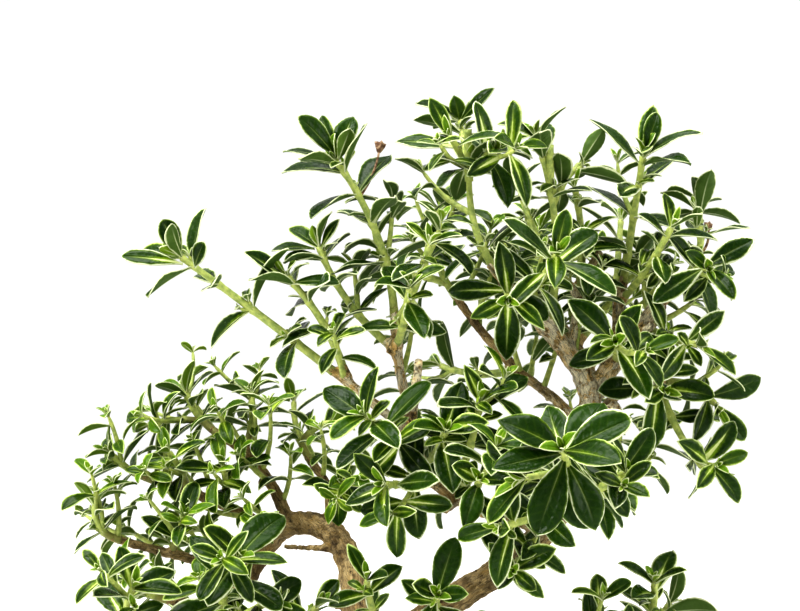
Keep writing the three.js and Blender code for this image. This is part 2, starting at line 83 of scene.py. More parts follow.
def makeCamera():
    lens = bpy.data.cameras.new("camera")
    lens.lens, lens.sensor_width = camera["lens"], camera["sensor"]
    lens.clip_start, lens.clip_end = camera["near"], camera["far"]
    holder = addObject("camera", lens)
    holder.location = camera["place"]
    holder.rotation_euler = (math.pi / 2, 0, 0)
    bpy.context.scene.camera = holder


def makeLamps():
    for name, (place, aim, size, power) in lamps.items():
        light = bpy.data.lights.new(name, "AREA")
        light.shape = "DISK"
        light.size, light.energy = size, power
        lamp = addObject(name, light)
        lamp.location = place
        lamp.visible_camera = False
        lamp.rotation_euler = (Vector(aim) - lamp.location).to_track_quat("-Z", "Y").to_euler()
    world = bpy.data.worlds.new("studioSky")
    world.use_nodes = True
    sky = world.node_tree.nodes["Background"].inputs
    sky["Color"].default_value = (1, 1, 1, 1)
    sky["Strength"].default_value = studio["sky"]
    scene = bpy.context.scene
    scene.world = world
    scene.view_settings.view_transform = "Standard"
    scene.view_settings.look = "High Contrast"


def meshOf(name, made, materials=()):
    mesh = bpy.data.meshes.new(name)
    made.to_mesh(mesh)
    made.free()
    for material in materials:
        mesh.materials.append(material)
    return mesh


def linkMesh(name, made, materials=()):
    return addObject(name, meshOf(name, made, materials))


def bmeshOf(mesh):
    made = bmesh.new()
    made.from_mesh(mesh)
    return made


# Adds a copy of a mesh and gives back its corners and faces.
def addCopy(made, mesh):
    corners, faces = len(made.verts), len(made.faces)
    made.from_mesh(mesh)
    made.verts.ensure_lookup_table()
    made.faces.ensure_lookup_table()
    return made.verts[corners:], made.faces[faces:]


def shadeSmooth(made):
    for face in made.faces:
        face.smooth = True


# Turns a profile of (radius, height), in metres, round the upright axis.
def spun(profile, steps):
    made = bmesh.new()
    corners = [made.verts.new((r, 0, z)) for r, z in profile]
    for first, second in zip(corners, corners[1:]):
        made.edges.new((first, second))
    bmesh.ops.spin(made, geom=made.verts[:] + made.edges[:], cent=(0, 0, 0), axis=(0, 0, 1),
                   angle=2 * math.pi, steps=steps, use_merge=True)
    bmesh.ops.remove_doubles(made, verts=made.verts[:], dist=1e-5)
    bmesh.ops.recalc_face_normals(made, faces=made.faces[:])
    return made


# Replaces a piece's mesh by what its modifiers make of it.
def applyModifiers(piece):
    bpy.context.view_layer.update()
    graph = bpy.context.evaluated_depsgraph_get()
    baked = bpy.data.meshes.new_from_object(piece.evaluated_get(graph))
    piece.modifiers.clear()
    piece.data = baked


def addPiece(piece, node):
    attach(piece, "root")
    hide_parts(node)


def feed(socket, value):
    if isinstance(value, Wire):
        socket.id_data.links.new(value.socket, socket)
    else:
        socket.default_value = value


def addNode(tree, kind, values=None, **settings):
    made = tree.nodes.new(kind)
    for name, value in settings.items():
        setattr(made, name, value)
    for key, value in (values or {}).items():
        feed(made.inputs[key], value)
    return made


# A value that runs from node to node. It can be reckoned with like a number.
class Wire:
    def __init__(self, node, output=0):
        self.socket = node.outputs[output]
        self.tree = self.socket.id_data

    def math(self, operation, *others):
        values = dict(enumerate((self, *others)))
        return Wire(addNode(self.tree, "ShaderNodeMath", values, operation=operation))

    def __add__(self, other):
        return self.math("ADD", other)

    def __sub__(self, other):
        return self.math("SUBTRACT", other)

    def __rsub__(self, other):
        return self.math("MULTIPLY_ADD", -1.0, other)

    def __mul__(self, other):
        return self.math("MULTIPLY", other)

    def __truediv__(self, other):
        return self.math("DIVIDE", other)

    def __pow__(self, other):
        return self.math("POWER", other)

    def __abs__(self):
        return self.math("ABSOLUTE")

    def most(self, other):
        return self.math("MAXIMUM", other)

    # A soft step from 0 to 1 between two values, or from 1 to 0 where low is above high.
    def step(self, low, high, least=0.0, most=1.0):
        values = {"Value": self, "From Min": low, "From Max": high, "To Min": least, "To Max": most}
        return Wire(addNode(self.tree, "ShaderNodeMapRange", values,
                            interpolation_type="SMOOTHSTEP"), "Result")

    # As a share, it leads from the first colour to the second.
    def mix(self, first, second):
        return Wire(addNode(self.tree, "ShaderNodeMix", {0: self, 6: first, 7: second},
                            data_type="RGBA"), 2)

    def noise(self, scale, detail, roughness=0.5, output="Fac"):
        return Wire(addNode(self.tree, "ShaderNodeTexNoise", {
            "Vector": self, "Scale": scale, "Detail": detail, "Roughness": roughness}), output)

    def squeezed(self, z):
        return Wire(addNode(self.tree, "ShaderNodeMapping", {"Vector": self, "Scale": (1, 1, z)}))

    def split(self):
        made = addNode(self.tree, "ShaderNodeSeparateXYZ", {0: self})
        return [Wire(made, k) for k in range(3)]


def attribute(tree, name, output="Vector"):
    return Wire(addNode(tree, "ShaderNodeAttribute", attribute_name=name), output)


def objectPlace(tree):
    return Wire(addNode(tree, "ShaderNodeTexCoord"), "Object")


def newMaterial(name):
    material = bpy.data.materials.new(name)
    material.use_nodes = True
    return material, material.node_tree


def finished(material, colour, roughness, height, strength, depth, specular=0.5):
    tree = material.node_tree
    shader = tree.nodes["Principled BSDF"]
    bump = addNode(tree, "ShaderNodeBump",
                   {"Strength": strength, "Distance": depth, "Height": height})
    for name, value in (("Base Color", colour), ("Roughness", roughness),
                        ("Specular IOR Level", specular), ("Normal", Wire(bump, "Normal"))):
        feed(shader.inputs[name], value)
    return material


def makeStage():
    radius, bend, steps = studio["floorRadius"], studio["wallBend"], studio["bendSteps"]
    turns = [math.radians(90 * (k + 1) / steps) for k in range(steps)]
    profile = [(0.0, 0.0), (radius, 0.0)]
    profile += [(radius + bend * math.sin(a), bend * (1 - math.cos(a))) for a in turns]
    made = spun([*profile, (radius + bend, studio["wallHeight"])], studio["roundSteps"])
    made.faces.ensure_lookup_table()
    if made.faces[0].normal.z < 0:
        bmesh.ops.reverse_faces(made, faces=made.faces[:])
    shadeSmooth(made)
    material, tree = newMaterial("studioPaper")
    for name, value in (("Base Color", studio["white"]), ("Roughness", 1.0),
                        ("Specular IOR Level", 0.0)):
        tree.nodes["Principled BSDF"].inputs[name].default_value = value
    linkMesh("studio_floor", made, [material])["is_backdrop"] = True


makeCamera()
makeLamps()
makeStage()
print("camera, lamps and floor stand")


# Roots, trunk and branches: points (x, y, z, radius).
wood = {
    "trunk": [(10, 8, 36, 12), (9, 7, 54, 10.5), (3, 4, 68, 8.6), (-8, 1, 86, 7.6),
        (-15, 1, 104, 6.9), (-14, 3, 122, 6), (-5, 2, 140, 4.4), (8, 0, 151, 4),
        (24, -2, 162, 3.8), (34, -4, 172, 3.6), (41, -3, 184, 3.4), (45, -1, 197, 3.3),
        (46, 0, 209, 3)],
    "root_left": [(6, 6, 58, 6.5), (-6, 3, 53, 4.6), (-18, 2, 49, 3), (-29, -1, 42, 1.6)],
    "root_front": [(8, 4, 57, 6.5), (7, -8, 52, 4.4), (2, -20, 45, 2.4)],
    "root_right": [(12, 8, 58, 6.5), (23, 7, 53, 4.4), (35, 3, 46, 2.4)],
    "root_back": [(10, 12, 57, 6), (11, 22, 51, 4), (15, 33, 44, 2)],
    "arm_left": [(46, 0, 205, 2.8), (43, -1, 214, 2.8), (36, -3, 223, 2.6), (27, -5, 232, 2.2),
        (22, -6, 238, 1.8)],
    "arm_right": [(46, 0, 205, 2.8), (51, 1, 214, 2.7), (58, 2, 222, 2.4), (64, 1, 231, 2.1),
        (70, 0, 237, 1.7)],
    "twig_up_right": [(54, 2, 217, 1.8), (54, 6, 227, 1.6), (56, 8, 238, 1.4)],
    "twig_up_mid": [(40, -2, 219, 1.7), (43, 3, 230, 1.4), (44, 5, 240, 1.3)],
    "crown_back": [(47, 0, 209, 2), (46, 15, 216, 1.7), (42, 28, 224, 1.5), (38, 38, 233, 1.3)],
    "twig_back": [(45, -1, 197, 1.8), (38, 13, 205, 1.5), (28, 23, 213, 1.4), (18, 30, 224, 1.3),
        (10, 33, 235, 1.3)],
    "branch_mid": [(33, -4, 171, 2.4), (22, -12, 177, 2), (10, -15, 181, 1.9), (2, -15, 187, 1.8),
        (-2, -13, 196, 1.6)],
    "twig_mid_up": [(-2, -13, 194, 1.5), (-4, -10, 206, 1.4), (-6, -9, 218, 1.4),
        (-7, -8, 230, 1.3)],
    "twig_mid_left": [(-1, -13, 193, 1.5), (-8, -14, 202, 1.4), (-15, -15, 208, 1.4),
        (-24, -15, 215, 1.3)],
    "front_bough": [(36, -3, 175, 2.1), (38, -20, 178, 1.8), (38, -36, 182, 1.6),
        (36, -50, 187, 1.4)],
    "arch": [(-13, 3, 120, 5), (-17, 18, 137, 4.2), (-19, 34, 151, 3.9), (-23, 44, 161, 3.7),
        (-31, 47, 166, 3.6), (-40, 48, 165, 3.4), (-47, 47, 157, 3.1), (-52, 44, 148, 2.6),
        (-61, 38, 143, 2), (-72, 32, 146, 1.6)],
    "arch_up": [(-38, 48, 165, 2.3), (-44, 52, 177, 1.8), (-53, 56, 187, 1.6), (-62, 58, 193, 1.3)],
    "arch_left": [(-42, 48, 163, 2.1), (-56, 53, 170, 1.7), (-70, 55, 175, 1.5),
        (-81, 53, 179, 1.3)],
    "arch_right": [(-26, 46, 164, 2), (-27, 51, 176, 1.6), (-33, 55, 185, 1.3)],
    "arch_low": [(-51, 45, 151, 2), (-64, 46, 155, 1.7), (-78, 43, 159, 1.4), (-89, 39, 163, 1.3)],
    "low_left": [(-15, 1, 104, 3.6), (-27, -8, 113, 3), (-40, -14, 123, 2.4), (-48, -17, 133, 2),
        (-50, -18, 142, 1.7)],
    "low_left_side": [(-39, -14, 122, 2), (-56, -18, 129, 1.6), (-70, -18, 138, 1.3)],
    "low_right": [(-13, 2, 128, 3.2), (4, -4, 127, 2.6), (22, -7, 128, 2.1), (40, -8, 132, 1.7),
        (53, -6, 138, 1.4)],
    "back_right": [(27, -1, 164, 2.3), (36, 16, 169, 1.9), (49, 31, 175, 1.6), (62, 40, 182, 1.3)],
    "right_low": [(45, -1, 200, 1.7), (54, 9, 206, 1.3), (62, 13, 210, 1.15), (70, 13, 210, 1.1)],
}

# The green shoots: the branch that each grows from, at which share of its length, tip, pairs of
# opposite leaves, length of a full-grown leaf, turn of the lowest pair and, where they aren't
# those of growth, share of the stem below it, spread of the leaves, and turn of each pair beyond
# the crossing of the one below it. A side shoot grows from the shoot above it in the table.
shootTable = [
    ("twig_mid_up", 1, (-22, -14, 269), 5, 19, 25, 0.3),
    ("twig_mid_up", 0.9, (2, -27, 247), 3, 13, 20, 0.35, 1.2),
    ("twig_mid_up", 0.74, (-3, -31, 236), 3, 14, 80, 0.35, 1.2),
    ("twig_mid_up", 0.7, (-27, -8, 247), 4, 14, 10),
    ("twig_mid_left", 1, (-62, -22, 244), 5, 18, 65, 0.22),
    ("twig_mid_left", 0.82, (-35, -17, 239), 4, 16, 30, 0.4),
    ("branch_mid", 0.92, (-14, -36, 204), 4, 16, 40, 0.35, 1.15),
    ("branch_mid", 0.72, (-9, -37, 187), 3, 16, 0, 0.35, 1.1),
    ("branch_mid", 0.8, (6, -36, 200), 3, 15, 65, 0.35, 1.2),
    ("branch_mid", 0.55, (15, -28, 207), 4, 15, 15, 0.5),
    ("branch_mid", 0.46, (14, -44, 189), 3, 14, 50),
    ("arm_left", 1, (13, -7, 267), 2, 17, 10, 0.3),
    ("side", 0.96, (8, -14, 275), 3, 15, 0, 0.2),
    ("side", 0.94, (19, -15, 272), 3, 15, 90, 0.2),
    ("side", 0.9, (11, 8, 282), 3, 14, 15, 0.25),
    ("arm_left", 0.55, (31, -6, 276), 4, 15, 40, 0.35),
    ("side", 0.62, (44, 6, 270), 3, 15, 20),
    ("arm_left", 0.76, (34, -29, 244), 4, 18, 35, 0.35, 1.1),
    ("arm_left", 0.95, (22, -28, 233), 3, 16, 80, 0.35, 1.2),
    ("twig_up_mid", 1, (42, 2, 263), 3, 13, 20),
    ("twig_up_mid", 0.7, (28, 20, 266), 4, 14, 60),
    ("twig_up_right", 1, (60, -2, 272), 5, 18, 25, 0.2),
    ("twig_up_right", 0.75, (66, -12, 252), 4, 13, 45),
    ("twig_up_right", 0.6, (58, 28, 256), 3, 14, 30),
    ("arm_right", 1, (76, 8, 258), 4, 15, 70),
    ("side", 0.12, (75, -14, 241), 3, 16, 20),
    ("arm_right", 0.33, (49, -29, 222), 3, 16, 110, 0.35, 1.1),
    ("arm_right", 0.6, (72, -16, 221), 3, 15, 30, 0.35, 1.1),
    ("right_low", 1, (81, 6, 204), 3, 15, 40),
    ("right_low", 0.5, (64, -11, 209), 3, 16, 75, 0.35, 1.1),
    ("right_low", 0.85, (77, 3, 187), 3, 14, 10),
    ("trunk", 0.66, (26, -26, 167), 3, 10, 30, 0.35, 1.2),
    ("trunk", 0.57, (4, -34, 159), 3, 15, 60),
    ("front_bough", 1, (31, -77, 199), 4, 19, 25, 0.72, 1.3, 45),
    ("side", 0.5, (23, -71, 192), 2, 18, 60, 0.35, 1.25),
    ("front_bough", 0.8, (48, -56, 192), 3, 13, 30),
    ("front_bough", 0.62, (19, -48, 178), 3, 15, 70),
    ("front_bough", 0.4, (51, -28, 190), 3, 14, 10),
    ("low_left", 1, (-46, -33, 168), 4, 18, 45, 0.45),
    ("side", 0.15, (-38, -28, 156), 3, 14, 10),
    ("low_left", 0.72, (-27, -16, 153), 3, 15, 70),
    ("low_left_side", 1, (-73, -28, 160), 4, 16, 20),
    ("low_left_side", 0.6, (-60, -34, 144), 3, 15, 60),
    ("side", 0.35, (-48, -38, 140), 2, 13, 15),
    ("low_right", 1, (61, -14, 159), 4, 14, 30),
    ("side", 0.15, (68, 4, 150), 3, 14, 0),
    ("low_right", 0.74, (46, -24, 148), 3, 15, 65),
    ("low_right", 0.5, (24, -20, 144), 3, 13, 40),
    ("trunk", 0.49, (-14, -16, 160), 3, 13, 20),
    ("arch_up", 1, (-71, 60, 205), 4, 13, 30),
    ("side", 0.3, (-82, 56, 195), 3, 12, 70),
    ("arch_up", 0.66, (-51, 60, 204), 4, 13, 10),
    ("arch_right", 1, (-38, 62, 202), 3, 13, 50),
    ("side", 0.3, (-26, 56, 196), 3, 12, 15),
    ("arch_right", 0.5, (-23, 42, 179), 3, 12, 70),
    ("arch_left", 1, (-92, 49, 187), 4, 13, 45),
    ("arch_left", 0.66, (-74, 44, 188), 3, 13, 15),
    ("arch_left", 0.38, (-58, 46, 184), 3, 14, 80),
    ("arch_low", 1, (-95, 38, 173), 3, 13, 20),
    ("arch_low", 0.55, (-68, 34, 170), 3, 13, 55),
    ("arch", 1, (-84, 26, 155), 3, 13, 10),
    ("back_right", 1, (72, 42, 196), 4, 14, 35),
    ("back_right", 0.7, (50, 38, 194), 3, 14, 75),
    ("crown_back", 1, (36, 44, 254), 4, 15, 25),
    ("side", 0.4, (50, 46, 246), 2, 13, 60),
    ("crown_back", 0.5, (64, 32, 247), 4, 14, 0),
    ("twig_back", 1, (6, 26, 259), 4, 15, 50),
    ("side", 0.12, (-8, 38, 240), 3, 14, 10),
    ("twig_back", 0.6, (24, 46, 243), 4, 14, 35),
    ("twig_back", 0.5, (6, 32, 214), 3, 14, 60),
]
shootKeys = ("on", "at", "tip", "pairs", "leaf", "roll", "first", "open", "twist")
growth = {
    "seat": 0.3,  # free gap between a branch's bark and a shoot's root
    "stemBase": 1.05, "stemTip": 0.7,
    "leafRoot": 0.25,  # how far a leaf's root goes past the axis of the stem
    "light": 0.5,  # how far a blade turns its upper face up and out of the crown
    "heart": Vector((15, 55, 175)),
    "first": 0.35, "last": 0.98,  # places of the lowest and the highest pair on the stem
    "open": 1, "twist": 12,
    "spread": 76, "closing": 38,  # angle of the lowest pair to the stem, and how far it falls
    "sway": 20, "tilt": 30, "widest": 100,  # random turns in degrees, and the widest angle
    "onward": 0.4,  # how far a shoot leans along the stem that it leaves
    "depth": 2.0, "barkDepth": 0.8,  # how far its foot goes into the end or side of a branch
}
# Ways in which a leaf may lie: turn round the stem, change of its angle, share of its length.
places = [(0, 0, 1), (18, 0, 1), (-18, 0, 1), (0, -18, 0.95), (34, 10, 0.95), (-34, 10, 0.95),
          (0, 16, 0.9), (26, -24, 0.8), (-26, -24, 0.8), (0, -34, 0.7)]

shoots = []
for values in shootTable:
    row = {**growth, **dict(zip(shootKeys, values)), "side": []}
    (shoots[-1]["side"] if row["on"] == "side" else shoots).append(row)


def drawsFrom(seed):
    state = seed

    def draw(low=0.0, high=1.0):
        nonlocal state
        state = (state * 1664525 + 1013904223) & 0xFFFFFFFF
        return low + (high - low) * state / 2 ** 32

    return draw


def blend(first, second, share):
    return first + (second - first) * share


# The part of side that is square to axis, with length 1.
def squared(side, axis):
    return (side - axis * side.dot(axis)).normalized()


# Two directions that are square to an axis and to each other.
def crossed(side, axis):
    u = squared(side, axis)
    return u, axis.cross(u)


def spoke(u, v, angle):
    return u * math.cos(angle) + v * math.sin(angle)


# The first of two directions, unless it runs too near to the axis.
def across(axis, first=upward, second=sideward):
    return first if abs(axis.dot(first)) < 0.8 else second


def lightAt(place):
    return (place - growth["heart"]).normalized() + upward


# A line through points with its radius: at, along and radius at a share of its length.
class Bough:
    def __init__(self, points):
        self.radii = [p[3] for p in points]
        inner = [Vector(p[:3]) for p in points]
        self.knots = [2 * inner[0] - inner[1], *inner, 2 * inner[-1] - inner[-2]]
        self.length = sum((b - a).length for a, b in zip(inner, inner[1:]))

    def span(self, t):
        place = t * (len(self.radii) - 1)
        i = min(int(place), len(self.radii) - 2)
        return i, place - i

    def terms(self, t):
        i, w = self.span(t)
        a, b, c, d = self.knots[i:i + 4]
        start, end = (c - a) / 2, (d - b) / 2
        return w, b, start, 3 * (c - b) - 2 * start - end, 2 * (b - c) + start + end

    def at(self, t):
        w, foot, slope, square, cube = self.terms(t)
        return foot + slope * w + square * w ** 2 + cube * w ** 3

    def along(self, t):
        w, _, slope, square, cube = self.terms(t)
        return (slope + 2 * square * w + 3 * cube * w ** 2).normalized()

    def radius(self, t):
        i, w = self.span(t)
        return blend(self.radii[i], self.radii[i + 1], w)


# The stem of a shoot: it leaves its root along start and bends to its tip.
class Stem:
    def __init__(self, root, start, tip, baseRadius, tipRadius=growth["stemTip"]):
        self.root, self.tip, self.start = root, tip, start
        self.depth = 0.0  # how far it goes on into the wood behind its root
        self.middle = root + start * ((tip - root).length / 2)
        self.radii = (baseRadius, tipRadius)
        self.length = (self.middle - root).length / 2 + (tip - self.middle).length / 2
        self.length += (tip - root).length / 2

    def at(self, t):
        return self.root * (1 - t) ** 2 + self.middle * 2 * t * (1 - t) + self.tip * t ** 2

    def along(self, t):
        slope = (self.middle - self.root) * (1 - t) + (self.tip - self.middle) * t
        return slope.normalized()

    def radius(self, t):
        return blend(*self.radii, t)


def straightStem(foot, tip, baseRadius, tipRadius):
    return Stem(foot, (tip - foot).normalized(), tip, baseRadius, tipRadius)


boughs = {name: Bough(points) for name, points in wood.items()}


# A shoot out of a branch. It grows on from the branch's end, or stands out of its bark.
def shootStem(row):
    bough = boughs[row["on"]]
    heart, along, tip = bough.at(row["at"]), bough.along(row["at"]), Vector(row["tip"])
    if row["at"] == 1:
        stem = Stem(heart + along * growth["seat"], along, tip, growth["stemBase"])
        stem.depth = growth["depth"]
        return stem
    start = (tip - heart).normalized()
    start = (start - along * growth["onward"] * start.dot(along)).normalized()
    angle = start.angle(along)
    bark = bough.radius(row["at"]) / math.sin(angle) + growth["stemBase"] / abs(math.tan(angle))
    stem = Stem(heart + start * (bark + growth["seat"]), start, tip, growth["stemBase"])
    stem.depth = bark * growth["barkDepth"]
    return stem


# A shoot out of another shoot, from inside its stem.
def sideStem(row, parent):
    root, tip = parent.at(row["at"]), Vector(row["tip"])
    onward = parent.along(row["at"]) * growth["onward"]
    start = ((tip - root).normalized() + onward).normalized()
    return Stem(root, start, tip, parent.radius(row["at"]))


# A blade: its root, where it runs, where its upper side looks, its side of the stem, length, bend.
Blade = namedtuple("Blade", "root along face out length bend")


# A leaf that stands on a stem: out is its side of the stem, spread its angle to it.
def leafOn(foot, axis, out, spread, light, tilt, length, bend):
    theta = math.radians(spread)
    along = out * math.sin(theta) + axis * math.cos(theta)
    face = axis * math.sin(theta) - out * math.cos(theta)
    lit = squared(face + light * growth["light"], along)
    root = foot - along * growth["leafRoot"]
    return Blade(root, along, Quaternion(along, tilt) @ lit, out, length, bend)


# Where each leaf of a shoot may lie: for each leaf its place on the stem and its blades.
def bladesOf(row, stem, seed):
    draw = drawsFrom(seed)
    side = across((stem.at(1) - stem.at(0)).normalized())
    light = lightAt(stem.at(1))
    for i in range(2 * row["pairs"]):
        pair = i // 2
        rise = pair / (row["pairs"] - 1)
        t = row["first"] + (row["last"] - row["first"]) * (1 - (1 - rise) ** 1.7)
        size = (0.9 + 0.3 * rise) * (1 - 0.34 * rise ** 4)
        turn = row["roll"] + (90 + row["twist"]) * pair + 180 * (i % 2)
        turn += row["sway"] * (draw() - 0.5)
        spread = row["open"] * (row["spread"] - row["closing"] * rise ** 1.5)
        spread += row["sway"] * (draw() - 0.5)
        length = row["leaf"] * size * (0.88 + 0.24 * draw())
        bend = 0.2 + 0.5 * draw()
        tilt = math.radians(row["tilt"] * (draw() - 0.5))
        axis = stem.along(t)
        u, v = crossed(side, axis)
        choices = [leafOn(stem.at(t), axis, spoke(u, v, math.radians(turn + around)),
                          min(spread + lean, row["widest"]), light, tilt, length * share, bend)
                   for around, lean, share in places]
        yield SimpleNamespace(t=t, rise=rise, axis=axis, light=light, choices=choices)


# A point of a blade: s from root to tip, aside and rise from its middle line.
def bladePoint(blade, s, aside=0.0, rise=0.0):
    curl = blade.length / blade.bend
    arc = blade.bend * s
    return (blade.root + blade.along * ((curl + rise) * math.sin(arc))
            + blade.face * ((curl + rise) * math.cos(arc) - curl)
            + blade.face.cross(blade.along) * aside)


leafForm = {
    "halfWidth": 0.182,  # at the widest place, as a share of the length
    "petiole": 0.4,  # half width of the blade's root
    "tip": 0.05,
    "thickness": 0.26,
    "fold": 0.3,  # rise of the margin over the midrib, as a share of the half width
    "rootward": 1.22,  # how fast a blade widens from its root
    "crowding": 0.07,  # how much closer its rows stand at root and tip
    "fullLength": 12,  # of a leaf whose petiole is as thick as given above
    "grids": {"large": (12, 4), "middle": (9, 4), "small": (6, 2)},  # faces along and across
}


# Places the rows of a blade closer together at its root and tip.
def shareAlong(place):
    q = (place + 1) / 2
    return q - leafForm["crowding"] * math.sin(2 * math.pi * q)


def leafTemplate(name, steps, columns):
    made = bmesh.new()
    layer = made.loops.layers.uv.new("blade")
    made.verts.layers.float_vector.new("leafInfo")
    made.verts.layers.float.new("halfWidth")
    bmesh.ops.create_grid(made, x_segments=steps, y_segments=columns, size=1)
    shadeSmooth(made)
    for face in made.faces:
        for loop in face.loops:
            loop[layer].uv = (shareAlong(loop.vert.co.x), (loop.vert.co.y + 1) / 2)
    return meshOf(name, made)


leafTemplates = {kind: leafTemplate(kind + "Leaf", *size)
                 for kind, size in leafForm["grids"].items()}


# What makes one leaf differ from the next. age: 0 in the bud, 1 full grown.
def leafLook(draw, age, broad=1.0, plain=0.8):
    tone = draw() * (1 if plain > 0.5 else 0.6)
    while tone * 17.7 % 1 > plain and draw() < 0.7:  # the higher that is, the broader the stripe
        tone = draw()
    return {
        "age": age, "tone": tone,
        "broad": broad * draw(0.86, 1.16) * blend(0.9, 1.0, age),
        "blunt": draw(0.66, 1.04), "bow": draw(-0.05, 0.05), "twist": draw(-0.3, 0.3),
        "wave": draw(0.0, 0.026), "phase": draw(0.0, 6.28),
        "fold": leafForm["fold"] * draw(0.6, 1.5) * blend(1.9, 1.0, age),
    }


def leafWidth(look, length, s):
    rootward, tipward = leafForm["rootward"], look["blunt"]
    peak = rootward / (rootward + tipward)
    most = peak ** rootward * (1 - peak) ** tipward
    s = min(max(s, 0.0), 1.0)
    share = s ** rootward * (1 - s) ** tipward / most
    width = leafForm["halfWidth"] * look["broad"] * length * share
    least = blend(leafForm["petiole"], leafForm["tip"], s)
    least *= min(1.0, length / leafForm["fullLength"])
    return math.sqrt(width ** 2 + least ** 2)


def placeLeaf(made, kind, blade, look):
    corners, _ = addCopy(made, leafTemplates[kind])
    info = made.verts.layers.float_vector["leafInfo"]
    half = made.verts.layers.float["halfWidth"]
    for vert in corners:
        s, x = shareAlong(vert.co.x), vert.co.y
        width = leafWidth(look, blade.length, s)
        rise = look["fold"] * width * (1.5 * abs(x) - 0.6 * x * x)
        rise += look["wave"] * blade.length * abs(x) * math.sin(9 * s + look["phase"] + 2 * x)
        turn = look["twist"] * s
        aside = x * width * math.cos(turn) + look["bow"] * blade.length * s * s
        vert.co = bladePoint(blade, s, aside, rise + x * width * math.sin(turn)) * mm
        vert[info] = (look["age"], look["tone"], blade.length)
        vert[half] = width


room = set()  # the small cells of space in which something grows
cellSize, spotGap, tubeGap, tubeSides = 1.5, 1.2, 0.7, 8
pastBox = 1.5  # how far small leaves may go past the box of the part
boxLow, boxHigh = (Vector(corner) / mm for corner in cadBounds)


def cellOf(place):
    return tuple(round(value / cellSize) for value in place)


def leafSpots(blade, look):
    steps = max(3, int(blade.length / spotGap))
    for k in range(1, steps + 1):
        width = leafWidth(look, blade.length, k / steps)
        for aside in (-0.8, 0.0, 0.8):
            yield bladePoint(blade, k / steps, aside * width)


def isFree(blade, look, nearRoot, siblings):
    return all((spot - blade.root).length < nearRoot
               or (cellOf(spot) not in room and cellOf(spot) not in siblings)
               for spot in leafSpots(blade, look))


# Whether a leaf stays within the box of the part.
def isInside(blade):
    return all(boxLow[k] - pastBox < bladePoint(blade, s)[k] < boxHigh[k] + pastBox
               for s in (0.5, 1) for k in range(3))


def takeRoom(spots):
    room.update(cellOf(spot) for spot in spots)


def takeTube(line, extra):
    steps = max(2, int(line.length / tubeGap))
    turns = [2 * math.pi * n / tubeSides for n in range(tubeSides)]
    for k in range(steps + 1):
        heart, axis = line.at(k / steps), line.along(k / steps)
        reach = line.radius(k / steps) + extra
        u, v = crossed(across(axis, sideward, upward), axis)
        takeRoom([heart, *(heart + spoke(u, v, turn) * reach for turn in turns)])


extras = {
    "axilChance": 0.28,  # of a small shoot in a leaf's axil
    "axilLeaf": (4.2, 8.0),
    "fillChance": 0.36,  # of a longer one, where there is room
    "fillLength": (8.0, 16.0),
    "fillLeaf": (9.5, 14.5),
    "longLean": (38, 56), "shortLean": (26, 44), "shortLength": (1.0, 2.4),
    "topmost": 0.9, "topmostLong": 0.7,  # share of a shoot above which none of them grows
    "rosetteFront": -60,  # the shoots whose tips lie in front of this have none
    "tries": 8, "coverTurn": 115, "fourPairs": 14, "sightLength": 75,
    # shoots out of the bark: how many, from and to which share of the branch, how long
    "covers": {
        "arch_up": (7, 0.15, 1.0, 22), "arch_left": (7, 0.15, 1.0, 22),
        "arch_low": (8, 0.1, 1.0, 22), "arch_right": (5, 0.2, 1.0, 20), "arch": (6, 0.5, 1.0, 20),
        "low_left": (5, 0.45, 1.0, 18), "low_left_side": (6, 0.3, 1.0, 18),
        "low_right": (5, 0.4, 1.0, 16), "back_right": (6, 0.3, 1.0, 22),
        "twig_back": (7, 0.25, 1.0, 24), "crown_back": (6, 0.2, 1.0, 24),
        "branch_mid": (4, 0.3, 1.0, 16), "twig_mid_up": (4, 0.1, 1.0, 16),
        "twig_mid_left": (4, 0.2, 1.0, 16), "front_bough": (3, 0.3, 0.9, 14),
        "arm_left": (4, 0.3, 1.0, 18), "arm_right": (3, 0.5, 1.0, 18),
        "twig_up_mid": (3, 0.3, 1.0, 18), "twig_up_right": (3, 0.4, 1.0, 18),
    },
}


twigForm = {
    "tipRadius": 0.5, "toLight": 0.22, "first": 0.45, "last": 0.98, "lastSize": 0.78,
    "spread": (86, 50), "turn": (-14, 14), "sway": (-10, 10), "tilt": (-18, 18),
    "size": (0.85, 1.12), "bend": (0.35, 1.15), "nearRoot": 3.5, "middleLeaf": 8.5,
}
# The buds at the ends of stems: size, spread, age and distance from the stem of their two pairs.
budPairs = ((1, 24, 0.22, 0.25), (0.55, 13, 0.06, 0.6))


def addLeaf(spray, kind, blade, look):
    spray.leaves.append((kind, blade, look))
    takeRoom(leafSpots(blade, look))


